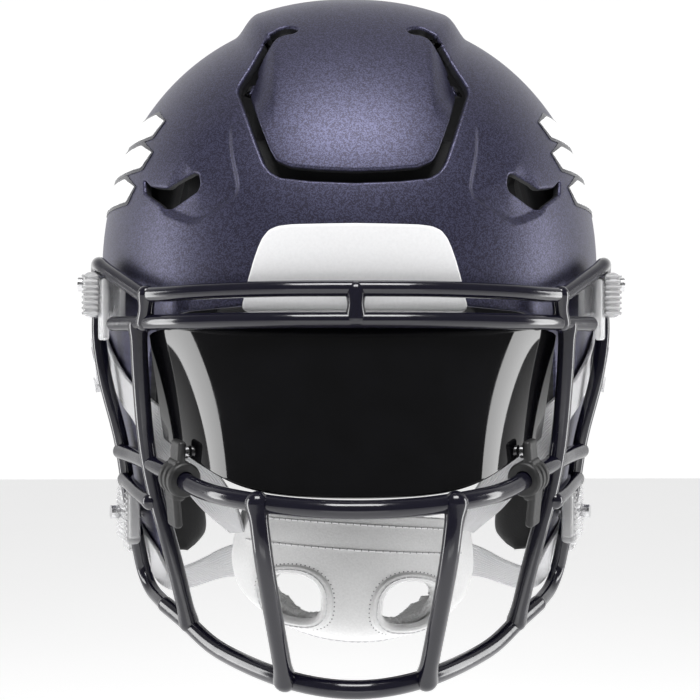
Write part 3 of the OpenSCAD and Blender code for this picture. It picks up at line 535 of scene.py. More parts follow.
# colour follows the weave height, darker in the low places between the yarns: painted shade in the weave's grooves
nt.links.new(ramp(nt, mx.outputs["Value"], [(0, (.66, .66, .68)), (.6, (.86, .86, .87))]), b.inputs["Base Color"])
MATS["webbing"] = m

rec = frame["record"]
SLOT = {s["node"]: s["material_slot"] for s in rec["subparts"]}
for n, o in frame["nodes"].items():
    mm = MATS.get(SLOT.get(n), MATS["ring_rubber"])
    if not o.data.materials:
        o.data.materials.append(mm)
    for sl in o.material_slots:
        sl.material = mm

# ---------------------------------------------------------------- shell and flex panel
ths = np.concatenate([np.arange(-180, -52, .8), np.arange(-52, 52, .45), np.arange(52, 180, .8)])
ws = np.concatenate([np.linspace(.006, .3, 40, endpoint=False), np.linspace(.3, 1, 118, endpoint=False), np.linspace(1, 2.02, 96)])
TH, WW = np.meshgrid(ths, ws)
P = SH(TH, WW); N = SHN(TH, WW)

P0 = base(TH, WW)
def lift_xz(pts):
    th = thxz(pts[:, 0], pts[:, 1]); return SH(th, wz(pts[:, 1]))
def to_base(pts):
    """(x, z) on the finished surface to (x, z) on the plain form under it"""
    q = pts.copy()
    for _ in range(14):
        p = lift_xz(q); q = q + .6 * (pts - p[:, [0, 2]]); q[:, 1] = np.minimum(q[:, 1], 150)
    return q

def mirror_poly(half):
    return half + [[-x, z] for x, z in reversed(half) if x > 1e-6]

slot_poly = soften(dense(SLOT_O[::1] + [[-x, z] for x, z in reversed(SLOT_O[:-1])] + [[-22.6, 134.4]] + [[-x, z] for x, z in SLOT_I[:-1]] + [[x, z] for x, z in reversed(SLOT_I)] + [[22.6, 134.4]], .35, True), 2.2)
slot_poly = to_base(slot_poly)
def mat_slot(p):
    return ~((p[:, 1] < 0) & (p[:, 2] > 55) & in_poly(p[:, 0], p[:, 2], slot_poly))
VENT = [[87.4, 71.2], [84, 67.6], [76.4, 65.8], [64.4, 71.4], [62.2, 70.4], [61.6, 66.2], [62.4, 63.6], [73.6, 57.4], [77, 57.8], [86.6, 65]]
loops = [(lift_xz(slot_poly), mat_slot)]
for sx in (1, -1):
    vp = to_base(soften(dense([[x * sx, z] for x, z in VENT], .3, True), 2.2))
    loops.append((lift_xz(vp), lambda p, vp=vp, sx=sx: ~((p[:, 1] < 0) & (p[:, 0] * sx > 0) & in_poly(p[:, 0], p[:, 2], vp))))

def side_loop(pts, sx, sig=2.):
    """outline given as (|th|, z) points"""
    q = soften(dense([[a * 1.8, z] for a, z in pts], .35, True), sig); q[:, 0] /= 1.8
    p3 = SH(q[:, 0] * sx, wz(q[:, 1]))
    def inside(p):
        th = np.degrees(np.arctan2(p[:, 0] * sx / A, (Y0 - p[:, 1]) / np.where(p[:, 1] < Y0, BF, BB)))
        return ~((p[:, 2] < 140) & in_poly(th, p[:, 2], q))
    return p3, inside
def capsule(a, b, r):
    """outline round two points, as (th, z)"""
    a, b = np.array(a, float) * [1.8, 1], np.array(b, float) * [1.8, 1]
    d = unit(b - a); n = np.array([-d[1], d[0]]); out = []
    for k in range(9):
        t = math.pi * k / 8; out.append(b + r * (d * math.sin(t) - n * -math.cos(t) * 1))
    for k in range(9):
        t = math.pi * k / 8; out.append(a + r * (-d * math.sin(t) - n * math.cos(t)))
    return [[p[0] / 1.8, p[1]] for p in out]
for sx in (1, -1):
    for a, bb_, r in (((100, 112), (122, 106), 3.4), ((146, 62), (158, 58), 3.5), ((128, 2), (138, -12), 3.2)):
        loops.append(side_loop(capsule(a, bb_, r), sx))
    # ear hole: a ring in (y, z)
    an = np.arange(0, 360, 1.2) * math.pi / 180
    yy, zz = 4 + 17 * np.cos(an), -8 + 17 * np.sin(an)
    w_ = wz(zz); q_ = np.clip(w_ - 1, 0, None); bfz = np.where(yy < Y0, BF - 17 * q_ ** 1.5, BB - 24 * q_ ** 1.8)
    v_ = np.clip((Y0 - yy) / bfz, -1, 1); u_ = (1 - np.abs(v_) ** EH) ** (1 / EH)
    th_ = np.degrees(np.arctan2(u_, v_)) * sx
    loops.append((SH(th_, w_), lambda p, sx=sx: ~((p[:, 0] * sx > 60) & (np.hypot(p[:, 1] - 4, p[:, 2] + 8) < 17))))
# trim edge
EDGE = np.array([[0, 17], [20, 17], [35, 15], [42, 10], [45, 2], [48, -20], [51, -50], [54, -80], [57, -93], [62, -99], [70, -100], [80, -97], [95, -86], [110, -74], [130, -64], [150, -60], [180, -58]], float)
full = np.vstack([[[-a, z] for a, z in EDGE[::-1]], EDGE[1:]])
tt = dense(full * [2.2, 1], .35) / [2.2, 1]
tt = soften(tt, 7, closed=False)[:-1]
loops.append((SH(tt[:, 0], wz(tt[:, 1])), lambda p: p[:, 2] > np.interp(np.degrees(np.arctan2(p[:, 0] / (A * (1 - .17 * np.clip((EZ - p[:, 2]) / 125, 0, 2) ** 1.6)), (Y0 - p[:, 1]) / np.where(p[:, 1] < Y0, BF - 17 * np.clip((EZ - p[:, 2]) / 125, 0, 2) ** 1.5, BB - 24 * np.clip((EZ - p[:, 2]) / 125, 0, 2) ** 1.8))), tt[:, 0], tt[:, 1])))
def is_panel(c):
    z = c[:, 2]
    return (c[:, 1] < 0) & (z > 60) & (z < 134) & (np.abs(c[:, 0]) < mid_x(z)) & ~((z > 131) & (np.abs(c[:, 0]) > 26))
(sv, sf, sn), (pv, pf, pn) = sheet(P, N, loops, 1.15, 4., wrap=True, cap=True, split=is_panel, Pin=P0)
mi_s, mi_p = LAST["mi"]
# the shell's inner side and cut walls get the dark second material, which is painted shade on the walls
shell = add_mesh("helmet_shell", sv, sf, sn, MATS["shell_paint"], "shell", ["shell"], mat2=MATS["shell_inside_painted_shade"], mi=mi_s)
panel = add_mesh("helmet_flex_panel", pv, pf, pn, MATS["shell_paint"], None, ["flex_panel"], blend=("shell", "flex_panel", (0, -.080, .136), (0, -.103, .120)), mat2=MATS["shell_inside_painted_shade"], mi=mi_p)

# ---------------------------------------------------------------- bumpers
def strip_patch(table, z0, z1, off, nx=56, nz=40, inset=0.):
    """a patch on the brow from a table of (z, half width)"""
    t = np.array(table, float); zz = np.linspace(z0, z1, nz); hw = np.interp(zz, t[:, 0], t[:, 1]) - inset
    X = np.linspace(-1, 1, nx)[None] * hw[:, None]; Z = np.repeat(zz[:, None], nx, 1)
    th = thxz(X, Z); w = wz(Z)
    p = SH(th, w, 0); n = SHN(th, w)
    return p + n * off, n
BUMP = [[0, 14.6], [40.4, 14.6], [42.4, 15.4], [43, 17.4], [42.2, 20], [40.6, 27], [38.6, 34], [36.6, 39.6], [35, 43], [32.6, 45.9], [29, 47.4], [24, 47.9], [0, 48.2]]
bp = soften(dense(BUMP + [[-x, z] for x, z in reversed(BUMP[1:-1])], .3, True), 2.)
gx, gz = np.meshgrid(np.linspace(-46, 46, 120), np.linspace(50, 12.5, 56))
bth, bw = thxz(gx, gz), wz(gz); bn = SHN(bth, bw)
bev = ss((14.6 + 2.4 - np.abs(gz - 31) ) / 3)
Pb = SH(bth, bw) + bn * 2.75
lp = (SH(thxz(bp[:, 0], bp[:, 1]), wz(bp[:, 1])) + SHN(thxz(bp[:, 0], bp[:, 1]), wz(bp[:, 1])) * 2.75, lambda p: in_poly(p[:, 0], p[:, 2] , bp + 0))
v, f, n = sheet(Pb, bn, [(lp[0], lambda p: in_poly(p[:, 0], p[:, 2], bp))], 1.3, 2.5, Pin=base(bth, bw))
front_bumper = add_mesh("brow_bumper", v, f, n, MATS["bumper_white"], "shell", ["front_bumper"])
rt, rz = np.meshgrid(np.linspace(160, 200, 90), np.linspace(-34, -56, 40)); rw = wz(rz)
rn = SHN(rt, rw); v, f, n = sheet(SH(rt, rw) + rn * 3.2, rn, [], 1.4, 2.95)
rear_bumper = add_mesh("nape_bumper", v, f, n, MATS["bumper_black"], "shell", ["rear_bumper"])

# ---------------------------------------------------------------- face mask wires
BR_U = [[0, -152, 23], [31, -148, 23], [60, -135.5, 22.5], [75, -125, 22], [84, -116.5, 22]]
BR_L = [[0, -154, 11.2], [31, -150, 11.2], [60, -137.5, 11], [76, -124, 11], [88, -109.5, 10.8], [99, -97, 10.8]]
MOUTH = [[0, -178, -56.7], [24, -172, -56.3], [46, -158, -54.6], [59, -142, -53], [72, -122, -49], [83, -103, -46.4], [92, -84, -45], [100.5, -68, -44]]
CHIN = [[0, -160, -125], [26, -148, -124], [53, -118, -120], [69, -97, -112.5], [79, -84, -108]]
OUTER = [[84, -116.5, 22], [94, -103, 28], [103, -91, 33.4], [107, -84, 36.4], [109.2, -75, 35.4], [110, -68.5, 28.5], [110, -67, 18], [110, -68, 6], [107, -69, -13], [100.5, -68, -39], [97, -64, -66], [93.6, -60, -88], [91.6, -58.5, -98], [87, -66, -105], [79, -84, -108]]
SIDE = [[87.2, -109, 10], [86.6, -107, -10], [84.7, -104, -37], [81, -103, -58], [74.5, -103, -82], [67.5, -101, -112]]
POST = [[36, -168, -55.5], [33, -167, -80], [26.5, -151, -123.5]]
LINK = [[83, -103, -62], [90, -88, -60], [98.5, -67, -56.5]]
def sym(half):
    h = np.array(half, float); return np.vstack([(h * [-1, 1, 1])[:0:-1], h])
def wire(name, pts, r, reps, **kw):
    p = dense(catmull(pts, 12), 1.4)
    p = soften(p, 2.5, closed=False)
    v, f, n = tube(p, r, 22, **kw)
    return add_mesh(name, v, f, n, MATS["mask_coat"], "facemask", reps)
wire("upper_brow_wire", sym(BR_U), 3.1, ["upper_brow_bar"])
wire("lower_brow_wire", sym(BR_L), 3.1, ["lower_brow_bar"])
wire("mouth_wire", sym(MOUTH), 3.5, ["mouth_bar"])
wire("chin_wire", sym(CHIN), 3.5, ["chin_bar"])
wire("brow_centre_post", [[0, -152, 22], [0, -153, 17], [0, -154, 12]], 3.1, ["brow_post"], flare0=.3, flare1=.3)
ends = []
for sx, side in ((1, "left"), (-1, "right")):
    mir = lambda q: np.array(q, float) * [sx, 1, 1]
    wire("outer_wire_" + side, mir(OUTER), 3.1, ["outer_bar_" + side])
    wire("side_wire_" + side, mir(SIDE), 3.5, ["side_bar_" + side], flare0=.2, flare1=.2)
    wire("chin_post_wire_" + side, mir(POST), 3.5, ["chin_post_" + side], flare0=.3, flare1=.3)
    wire("lower_link_wire_" + side, mir(LINK), 3.1, ["lower_link_" + side], flare0=.2, flare1=.2)
    ends.append(tube(dense(mir([[82.5, -118.3, 22], [83, -116.6, 16], [83.5, -115.2, 11]]), 1.), 3.1, 20, flare0=.25, flare1=.25))
v, f, n = weld(ends)
add_mesh("brow_end_post_wires", v, f, n, MATS["mask_coat"], "facemask", ["brow_end_posts"])

# ---------------------------------------------------------------- eye shield
SH_TOP = sym([[0, -147.4, 13], [31, -143.3, 12.6], [58, -130.2, 11.4], [72, -117.5, 9], [82, -106, 6]])
SH_BOT = sym([[0, -172, -52.5], [30, -164.5, -52], [46, -153, -49], [57, -139.5, -44], [67, -121.5, -40], [77, -99, -36]])
def arc_even(p, n):
    L = np.concatenate([[0], np.cumsum(np.linalg.norm(np.diff(p, axis=0), axis=1))])
    return np.stack([np.interp(np.linspace(0, L[-1], n), L, p[:, i]) for i in range(3)], 1)
top = arc_even(soften(dense(catmull(SH_TOP, 14), .8), 14, closed=False), 150)
bot = arc_even(soften(dense(catmull(SH_BOT, 14), .8), 14, closed=False), 150)
tk = np.linspace(0, 1, 56)[:, None, None]
Ps = top[None] * (1 - tk) + bot[None] * tk
bul = (4 * tk * (1 - tk))
du = np.gradient(Ps, axis=1); dv = np.gradient(Ps, axis=0)
Ns = unit(np.cross(dv, du)); Ns = Ns * np.sign(-(Ns[..., 1:2]))
Ps = Ps + Ns * 1.2
if np.cross(Ps[1, 0] - Ps[0, 0], Ps[0, 1] - Ps[0, 0]) @ Ns[0, 0] < 0:
    Ps = Ps[:, ::-1]; Ns = Ns[:, ::-1]
v, f, n = sheet(Ps, Ns, [], 1.0, 2.4)
add_mesh("tinted_eye_shield", v, f, n, MATS["shield_tint"], "facemask", ["eye_shield"])

# ---------------------------------------------------------------- stripe decals, white on a dark outline
for sx, side in ((1, "left"), (-1, "right")):
    wp, kp = [], []
    for z0, z1, lead, t0, t1 in ((91, 102, 2.5, 48, 66), (77, 88, 2.5, 48, 71), (63, 74, 2.5, 51.5, 76)):
        for grow, off, box_ in ((0., .62, wp), (1.5, .36, kp)):
            k = grow / 1.9
            out = [[t0 + 2.6 - k, z0 - grow], [t1 - k * .2 + k, z0 - grow], [t1 + 2.4 + k, z1 + grow], [t0 + 6.5 - k, z1 + grow], [t0 - k * .8, z0 + (z1 - z0) * .55]]
            q = soften(dense([[a * 1.8, z] for a, z in out], .35, True), 1.5); q[:, 0] /= 1.8
            gt, gz_ = np.meshgrid(np.arange(t0 - 4, t1 + 7, .7), np.arange(z1 + 4, z0 - 4, -1.)); gw = wz(gz_)
            nn = SHN(gt * sx, gw); pp = SH(gt * sx, gw) + nn * off
            def ins(p, q=q, sx=sx):
                return in_poly(p[:, 0], p[:, 1], q)
            qw = wz(q[:, 1]); qn = SHN(q[:, 0] * sx, qw)
            box_.append(sheet(pp, nn, [(SH(q[:, 0] * sx, qw) + qn * off, ins)], .16, off + .25, inner=False, Pin=np.stack([gt, gz_, gt * 0], -1)))
    v, f, n = weld(wp)
    add_mesh("stripe_decals_" + side, v, f, n, MATS["decal_film"], "shell", ["decal_" + side])
    v, f, n = weld(kp)
    add_mesh("stripe_outlines_" + side, v, f, n, MATS["decal_edge"], "shell", [])

# ---------------------------------------------------------------- air valves
def valve():
    return lathe(rounded([(0, -1.5), (1.3, -1.5), (1.3, .9), (2.2, 1.25), (3.0, 1.25), (3.5, .75), (4.2, .75), (5.2, .55), (5.2, -2.4), (0, -2.4)], .3), 48)
for name, at, nn, node in (("crown_valve", (0, 30), (0, 0, 1), "crown_air_valve"), ("nape_valve", None, (0, 1, 0), "rear_air_valve")):
    M = frame_at(np.array(nn, float)) if nn[2] == 0 else np.eye(3)
    b0, b1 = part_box(node)
    c = (np.array(b0) + np.array(b1)) / 2 / MM
    c = np.where(np.array(nn) == 1, np.array(b1) / MM - 1.25, c)
    v, f, n = place(valve(), M, c)
    add_mesh(name, v, f, n, MATS["valve_rubber"], "shell", [node])

# ---------------------------------------------------------------- liner pads
def pad(name, node, X, Y, mapf, off0, off1, cu, cv, mat_, slot_, groove=.34, fill=.75):
    """cushion between two offsets from the shell, swollen between sewn channels"""
    h, w = X.shape
    u = np.linspace(0, 1, w)[None] + 0 * X; v = np.linspace(0, 1, h)[:, None] + 0 * X
    ed = lambda t: (1 - np.abs(2 * t - 1) ** 7) ** .42
    edge = ed(u) * ed(v)
    du = np.abs((u * cu) % 1 - .5) * 2; dv = np.abs((v * cv) % 1 - .5) * 2
    gu = ss((1 - du) * cu * 0 + (1 - du) / .30) if cu > 1 else np.ones_like(u)
    gv = ss((1 - dv) / .30) if cv > 1 else np.ones_like(v)
    ch = 1 - groove * (1 - gu * gv)
    mid = off0 + (off1 - off0) * .38
    o_out = mid - (mid - off0) * edge; o_in = mid + (off1 - mid) * edge * ch
    Po, n = mapf(X, Y, o_out); Pi, _ = mapf(X, Y, o_in)
    V = np.vstack([Po.reshape(-1, 3), Pi.reshape(-1, 3)]); o = h * w
    idx = np.arange(o).reshape(h, w)
    a, b, c, d = idx[:-1, :-1], idx[:-1, 1:], idx[1:, 1:], idx[1:, :-1]
    q = np.stack([a, b, c, d], -1).reshape(-1, 4)
    rim = np.concatenate([idx[0, :], idx[1:, -1], idx[-1, -2::-1], idx[-2:0:-1, 0]])
    merge = np.arange(2 * o); merge[rim + o] = rim
    F = np.vstack([q, merge[(q + o)[:, ::-1]]])
    used = np.unique(F); m = np.full(2 * o, -1); m[used] = np.arange(len(used)); V = V[used]; F = m[F]
    c0 = V[F[:200]]; nn = np.cross(c0[:, 2] - c0[:, 0], c0[:, 3] - c0[:, 1]); outw = n.reshape(-1, 3)[q[:200, 0]]
    if (nn * outw).sum() < 0:
        F = F[:, ::-1]
    ob = add_mesh(name, V, F, None, mat_, "shell", [node])
    return ob
def mp_tz(T, Z, off):
    w = wz(Z); p = base(T, w); n = base_n(T, w); return p + n * (ridge(p) - off)[..., None], n
def XYtw(X, Y):
    b_ = np.where(Y < Y0, BF, BB); u = X / A; v = (Y0 - Y) / b_
    rho = (np.abs(u) ** EH + np.abs(v) ** EH) ** (1 / EH)
    return np.degrees(np.arctan2(u, v)), np.maximum(1 - np.degrees(np.arccos(np.clip(rho, 0, 1) ** (EV / 2))) / 90, .02)
def mp_xy(X, Y, off):
    T, w = XYtw(X, Y); p = base(T, w); n = base_n(T, w); return p + n * (ridge(p) - off)[..., None], n
def grid(a0, a1, na, b0, b1, nb):
    return np.meshgrid(np.linspace(a0, a1, na), np.linspace(b0, b1, nb))
LP, JP = MATS["liner_pad"], MATS["jaw_pad_cover"]
pad("brow_liner_pad", "front_pad", *grid(-34, 34, 110, 24, 92, 60), mp_tz, 10.5, 22.5, 3, 1, LP, "liner_pad")
pad("crown_liner_pad", "crown_pad", *grid(-46, 46, 90, -44, 56, 90), mp_xy, 9.6, 25.6, 2, 2, LP, "liner_pad")
pad("back_liner_pad", "back_pad", *grid(136, 224, 130, 20, 104, 70), mp_tz, 9, 24, 3, 2, LP, "liner_pad")
pad("neck_liner_pad", "neck_pad", *grid(148, 212, 110, -54, 12, 60), mp_tz, 12, 24.7, 3, 1, LP, "liner_pad")
for sx, side in ((1, "left"), (-1, "right")):
    a, b_ = (48, 128) if sx > 0 else (-128, -48)
    pad("side_liner_pad_" + side, "side_pad_" + side, *grid(a, b_, 120, 22, 100, 70), mp_tz, 4.7, 24.7, 3, 2, LP, "liner_pad")
    a, b_ = (58, 84) if sx > 0 else (-84, -58)
    pad("jaw_liner_pad_" + side, "jaw_pad_" + side, *grid(a, b_, 56, -92, -32, 60), mp_tz, 4.7, 27.7, 1, 2, JP, "jaw_pad_cover", groove=.18)

# ---------------------------------------------------------------- chin cup
CUPT = catmull([[0, -66, 0], [.25, -77, 2.4], [.5, -92.5, 3], [.75, -109, -.5], [.9, -117.5, -7], [1, -121, -16]], 12)
CUPT = CUPT[np.argsort(CUPT[:, 0])]
def cup(u, v, off, roll=3.8):
    z = np.interp(v, CUPT[:, 0], CUPT[:, 1]); d = np.interp(v, CUPT[:, 0], CUPT[:, 2])
    an = np.radians(72 * u); r = 46 + d - off
    p = np.stack([r * np.sin(an) * 1.1, -68 - r * np.cos(an) * 1.03, z + off * np.maximum(0, v - .6) * 1.6 + 16 * u * u * np.maximum(0, v - .35) - 4 * u * u * (1 - v)], -1)
    c, s = math.cos(math.radians(roll)), math.sin(math.radians(roll))
    x, z = p[..., 0], p[..., 2] + 92
    p[..., 0] = x * c + z * s; p[..., 2] = z * c - x * s - 92
    return p
def cup_n(u, v, off=0.):
    e = .006
    n = unit(np.cross(cup(u + e, v, off) - cup(u - e, v, off), cup(u, np.clip(v + e, 0, 1), off) - cup(u, np.clip(v - e, 0, 1), off)))
    return n * np.where(n[..., 1:2] > .2, -1, 1) if False else n
gu, gv = np.meshgrid(np.linspace(-1, 1, 190), np.linspace(.0, 1, 96))
Pc = cup(gu, gv, 0.); Nc = cup_n(gu, gv)
if Nc[48, 95, 1] > 0:
    Nc = -Nc; CS = -1
else:
    CS = 1
def hole_uv(sx, grow=0.):
    an = np.arange(0, 360, 1.) * math.pi / 180
    c, s = np.cos(an), np.sin(an); ex = 2 / 2.5
    x = (11.2 + grow) * np.sign(c) * np.abs(c) ** ex; z = (10.6 + grow) * np.sign(s) * np.abs(s) ** ex
    z = z - .16 * x - .010 * x * x
    uu = (.405 + (x * 1.0) / (45 * 1.2566 * .93)); vv = .655 - z / 66
    return uu * sx, vv
cl = []
for sx in (1, -1):
    hu, hv = hole_uv(sx); q3 = cup(hu, hv, 0.)
    cl.append((q3, lambda p, q3=q3: ~in_poly(p[:, 0], p[:, 2], q3[:, [0, 2]])))
v, f, n = sheet(Pc, Nc, cl, .8, 2.5)
parts = [(v, f, n)]
# bound rims of the two windows
for sx in (1, -1):
    hu, hv = hole_uv(sx, .1); gu_, gv_ = hole_uv(sx, 4.0)
    tt_ = np.linspace(0, 1, 9)[:, None]
    U_ = hu[None] * (1 - tt_) + gu_[None] * tt_; V_ = hv[None] * (1 - tt_) + gv_[None] * tt_
    nb_ = cup_n(U_, V_) * CS; prof = 1.1 * np.sqrt(np.clip(1 - (2 * tt_ - 1) ** 4, 0, 1))
    top_ = cup(U_, V_, 0.) + nb_ * (prof + .02)[..., None]
    back = cup(hu[None], hv[None], 2.5) + 0 * nb_[:1]
    rows = np.concatenate([back, top_[:1] - nb_[:1] * .3, top_], 0); h_, w_ = rows.shape[:2]
    ii = np.arange(h_ * w_).reshape(h_, w_); fs = []
    for i in range(h_ - 1):
        for j in range(w_):
            fs.append((ii[i, j], ii[i, (j + 1) % w_], ii[i + 1, (j + 1) % w_], ii[i + 1, j]))
    if np.cross(rows[4, 1] - rows[3, 0], rows[4, 0] - rows[3, 1]) @ nb_[2, 0] < 0:
        pass
    fa = np.cross(rows[6, 1] - rows[5, 0], rows[6, 0] - rows[5, 1])
    q0 = fs[5 * w_]; pts4 = rows.reshape(-1, 3)[list(q0)]
    if np.cross(pts4[2] - pts4[0], pts4[3] - pts4[1]) @ nb_[4, 0] < 0:
        fs = [tuple(reversed(g)) for g in fs]
    du_ = np.roll(rows, -1, 1) - np.roll(rows, 1, 1); dv_ = np.gradient(rows, axis=0); nr = unit(np.cross(du_, dv_))
    nr = nr * np.sign((nr[5] * nb_[4]).sum(-1).mean())
    parts.append((rows.reshape(-1, 3), fs, nr.reshape(-1, 3)))
v, f, n = weld(parts)
add_mesh("chin_cup_shell", v, f, n, MATS["cup_leather"], "shell", ["chin_cup"])
# fleece liner behind it, standing a little proud at the ends
rng = np.random.default_rng(7)
gu2, gv2 = np.meshgrid(np.linspace(-1.04, 1.04, 170), np.linspace(.02, .99, 84))
rough = rng.normal(0, 1, gu2.shape)
for _ in range(2):
    rough = (rough + np.roll(rough, 1, 0) + np.roll(rough, -1, 0) + np.roll(rough, 1, 1) + np.roll(rough, -1, 1)) / 5
Pl = cup(gu2, gv2, 3.1); Nl = cup_n(gu2, gv2, 3.1) * CS
ll = []
for sx in (1, -1):
    hu, hv = hole_uv(sx, .5); q3 = cup(hu, hv, 3.1)
    ll.append((q3, lambda p, q3=q3: ~in_poly(p[:, 0], p[:, 2], q3[:, [0, 2]])))
v, f, n = sheet(Pl, Nl, ll, 1.5, 4.3)
v = v + n * np.interp(np.arange(len(v)), np.arange(len(v)), rng.normal(0, .16, len(v)))[:, None]
ob = add_mesh("chin_cup_fleece", v, f, None, MATS["cup_liner"], "shell", ["chin_cup_liner"])
# rows of stitches
def stitches(line, nrm, pitch=2.9, length=2.1, r=.33, lift=.12):
    L = np.concatenate([[0], np.cumsum(np.linalg.norm(np.diff(line, axis=0), axis=1))]); out = []
    for s0 in np.arange(.5, L[-1] - length, pitch):
        s = np.linspace(s0, s0 + length, 5)
        p = np.stack([np.interp(s, L, line[:, i]) for i in range(3)], 1); nn_ = unit(np.stack([np.interp(s, L, nrm[:, i]) for i in range(3)], 1))
        out.append(tube(p + nn_ * (lift + .18 * np.sin(np.linspace(0, math.pi, 5)))[:, None], r, 8))
    return out
st = []
for va, vb in ((.09, .09), (.30, .30)):
    us = np.linspace(-.80, .80, 220); vs = va + .055 * (np.abs(us) / .8) ** 2 * 0 + 0 * us
    st += stitches(cup(us, vs, 0.), cup_n(us, vs) * CS)
for sx in (1, -1):
    hu, hv = hole_uv(sx, 2.0); hu, hv = np.append(hu, hu[0]), np.append(hv, hv[0])
    st += stitches(cup(hu, hv, 0.) + cup_n(hu, hv) * CS * 1.05, cup_n(hu, hv) * CS, 2.6, 1.8, .28)
us = np.linspace(-.86, .86, 240); st += stitches(cup(us, .955 + 0 * us, 0.), cup_n(us, .955 + 0 * us) * CS)
v, f, n = weld(st)
add_mesh("chin_cup_stitching", v, f, n, MATS["stitch_thread"], "shell", [])
# dark dots a hair proud of the leather stand for the needle holes; their dark grey is painted shade of the holes
def pits(line, nrm, pitch, r=.42):
    L = np.concatenate([[0], np.cumsum(np.linalg.norm(np.diff(line, axis=0), axis=1))]); out = []
    for s0 in np.arange(.15, L[-1] - .4, pitch):
        p = np.array([np.interp(s0, L, line[:, i]) for i in range(3)]); nn_ = unit(np.array([np.interp(s0, L, nrm[:, i]) for i in range(3)]))
        v_, f_, n_ = lathe([(0, -.25), (r, -.2), (r * .9, .10), (r * .5, .16), (0, .17)], 10)
        out.append(place((v_, f_, n_), frame_at(nn_), p))
    return out
# needle-hole dots, coloured with painted shade
pt = []
for va in (.09, .30):
    us = np.linspace(-.80, .80, 220); pt += pits(cup(us, va + 0 * us, 0.), cup_n(us, va + 0 * us) * CS, 2.9)
for sx in (1, -1):
    hu, hv = hole_uv(sx, 4.4); hu, hv = np.append(hu, hu[0]), np.append(hv, hv[0])
    pt += pits(cup(hu, hv, 0.), cup_n(hu, hv) * CS, 1.9, .30)
v, f, n = weld(pt)
add_mesh("chin_cup_needle_holes", v, f, n, MATS["painted_needle_hole_shade"], "shell", [])

# ---------------------------------------------------------------- straps
def band(pts, dirs, width, t, n=9):
    p = catmull(pts, n); d = catmull(dirs, n)
    T = unit(np.gradient(p, axis=0)); d = unit(d - T * (d * T).sum(1, keepdims=True)); side = np.cross(T, d)
    L = np.concatenate([[0], np.cumsum(np.linalg.norm(np.diff(p, axis=0), axis=1))])
    # section: flat weave with a thicker rolled selvedge at each side
    sec = []
    half = width / 2
    xs = np.concatenate([[-half], np.linspace(-half + .5, half - .5, 13), [half]])
    up = [.25 * t] + [t * (.5 + .12 * (abs(x) > half - 1.4)) for x in xs[1:-1]] + [.25 * t]
    sec = [(x, y) for x, y in zip(xs, up)] + [(x, -y) for x, y in zip(xs[::-1], up[::-1])]
    m = len(sec); S = np.array(sec)
    V = (p[:, None] + side[:, None] * S[None, :, :1] + d[:, None] * S[None, :, 1:]).reshape(-1, 3)
    V2 = V.reshape(len(p), m, 3); dn = unit(np.cross(np.gradient(V2, axis=0), np.roll(V2, -1, 1) - np.roll(V2, 1, 1)))
    cen = p[:, None]
    dn = dn * np.sign(((V2 - cen) * dn).sum(-1).mean() or 1)
    uv = np.stack([np.repeat(L, m), np.tile(S[:, 0], len(p))], 1)
    F = []
    for i in range(len(p) - 1):
        for j in range(m):
            k = (j + 1) % m
            F.append((i * m + j, i * m + k, (i + 1) * m + k, (i + 1) * m + j))
    F.append(tuple(range(m))[::-1]); F.append(tuple(range((len(p) - 1) * m, len(p) * m)))
    q = V[list(F[m * 3 + 5])]
    if np.cross(q[2] - q[0], q[3] - q[1]) @ dn.reshape(-1, 3)[m * 3 + 5] < 0:
        F = [tuple(reversed(g)) for g in F]
    return V, F, dn.reshape(-1, 3), uv
def shell_pts(rows):
    P_, D_ = [], []
    for th, z, off in rows:
        w = wz(np.array([float(z)])); p = base(np.array([float(th)]), w); n_ = base_n(np.array([float(th)]), w)
        P_.append((p + n_ * (ridge(p) + off)[:, None])[0]); D_.append(n_[0])
    return P_, D_
UPF = ([[48.6, -85.2, -77], [57, -87, -64], [69, -90, -48], [79, -93.2, -35], [86.4, -92, -27.5]], [[.9, -.4, .1], [.6, -.7, .4], [.4, -.85, .3], [.3, -.93, .2], [.66, -.75, 0]])
UPS = shell_pts([(52.5, -22, 1.4), (58, -16, 1.05), (66, -5, 1.05), (74, 6, 1.05), (82, 16, 1.05), (88, 22, 1.05)])
LOF = ([[48.4, -84.4, -89], [58, -76, -93], [72, -71.5, -98.5], [80.5, -69, -99.5], [85.4, -67.8, -92.5]], [[.9, -.4, -.2], [.5, -.5, -.7], [.35, -.6, -.75], [.6, -.6, -.6], [.82, -.5, -.15]])
LOS = shell_pts([(61.5, -87, 1.3), (69, -83, 1.05), (80, -77, 1.05), (91, -70, 1.05), (101, -63, 1.05), (109, -58, 1.05)])
for sx, side in ((1, "left"), (-1, "right")):
    for nm, (fp, fd), (sp_, sd), wdt in (("upper", UPF, UPS, 16), ("lower", LOF, LOS, 14)):
        p = np.array(fp + sp_, float) * [sx, 1, 1]; d = np.array(fd + sd, float) * [sx, 1, 1]
        v, f, n, uv = band(p, d, wdt, 1.3)
        add_mesh("%s_web_strap_%s" % (nm, side), v, f, n, MATS["webbing"], "shell", ["%s_strap_%s" % (nm, side)], uv=uv)

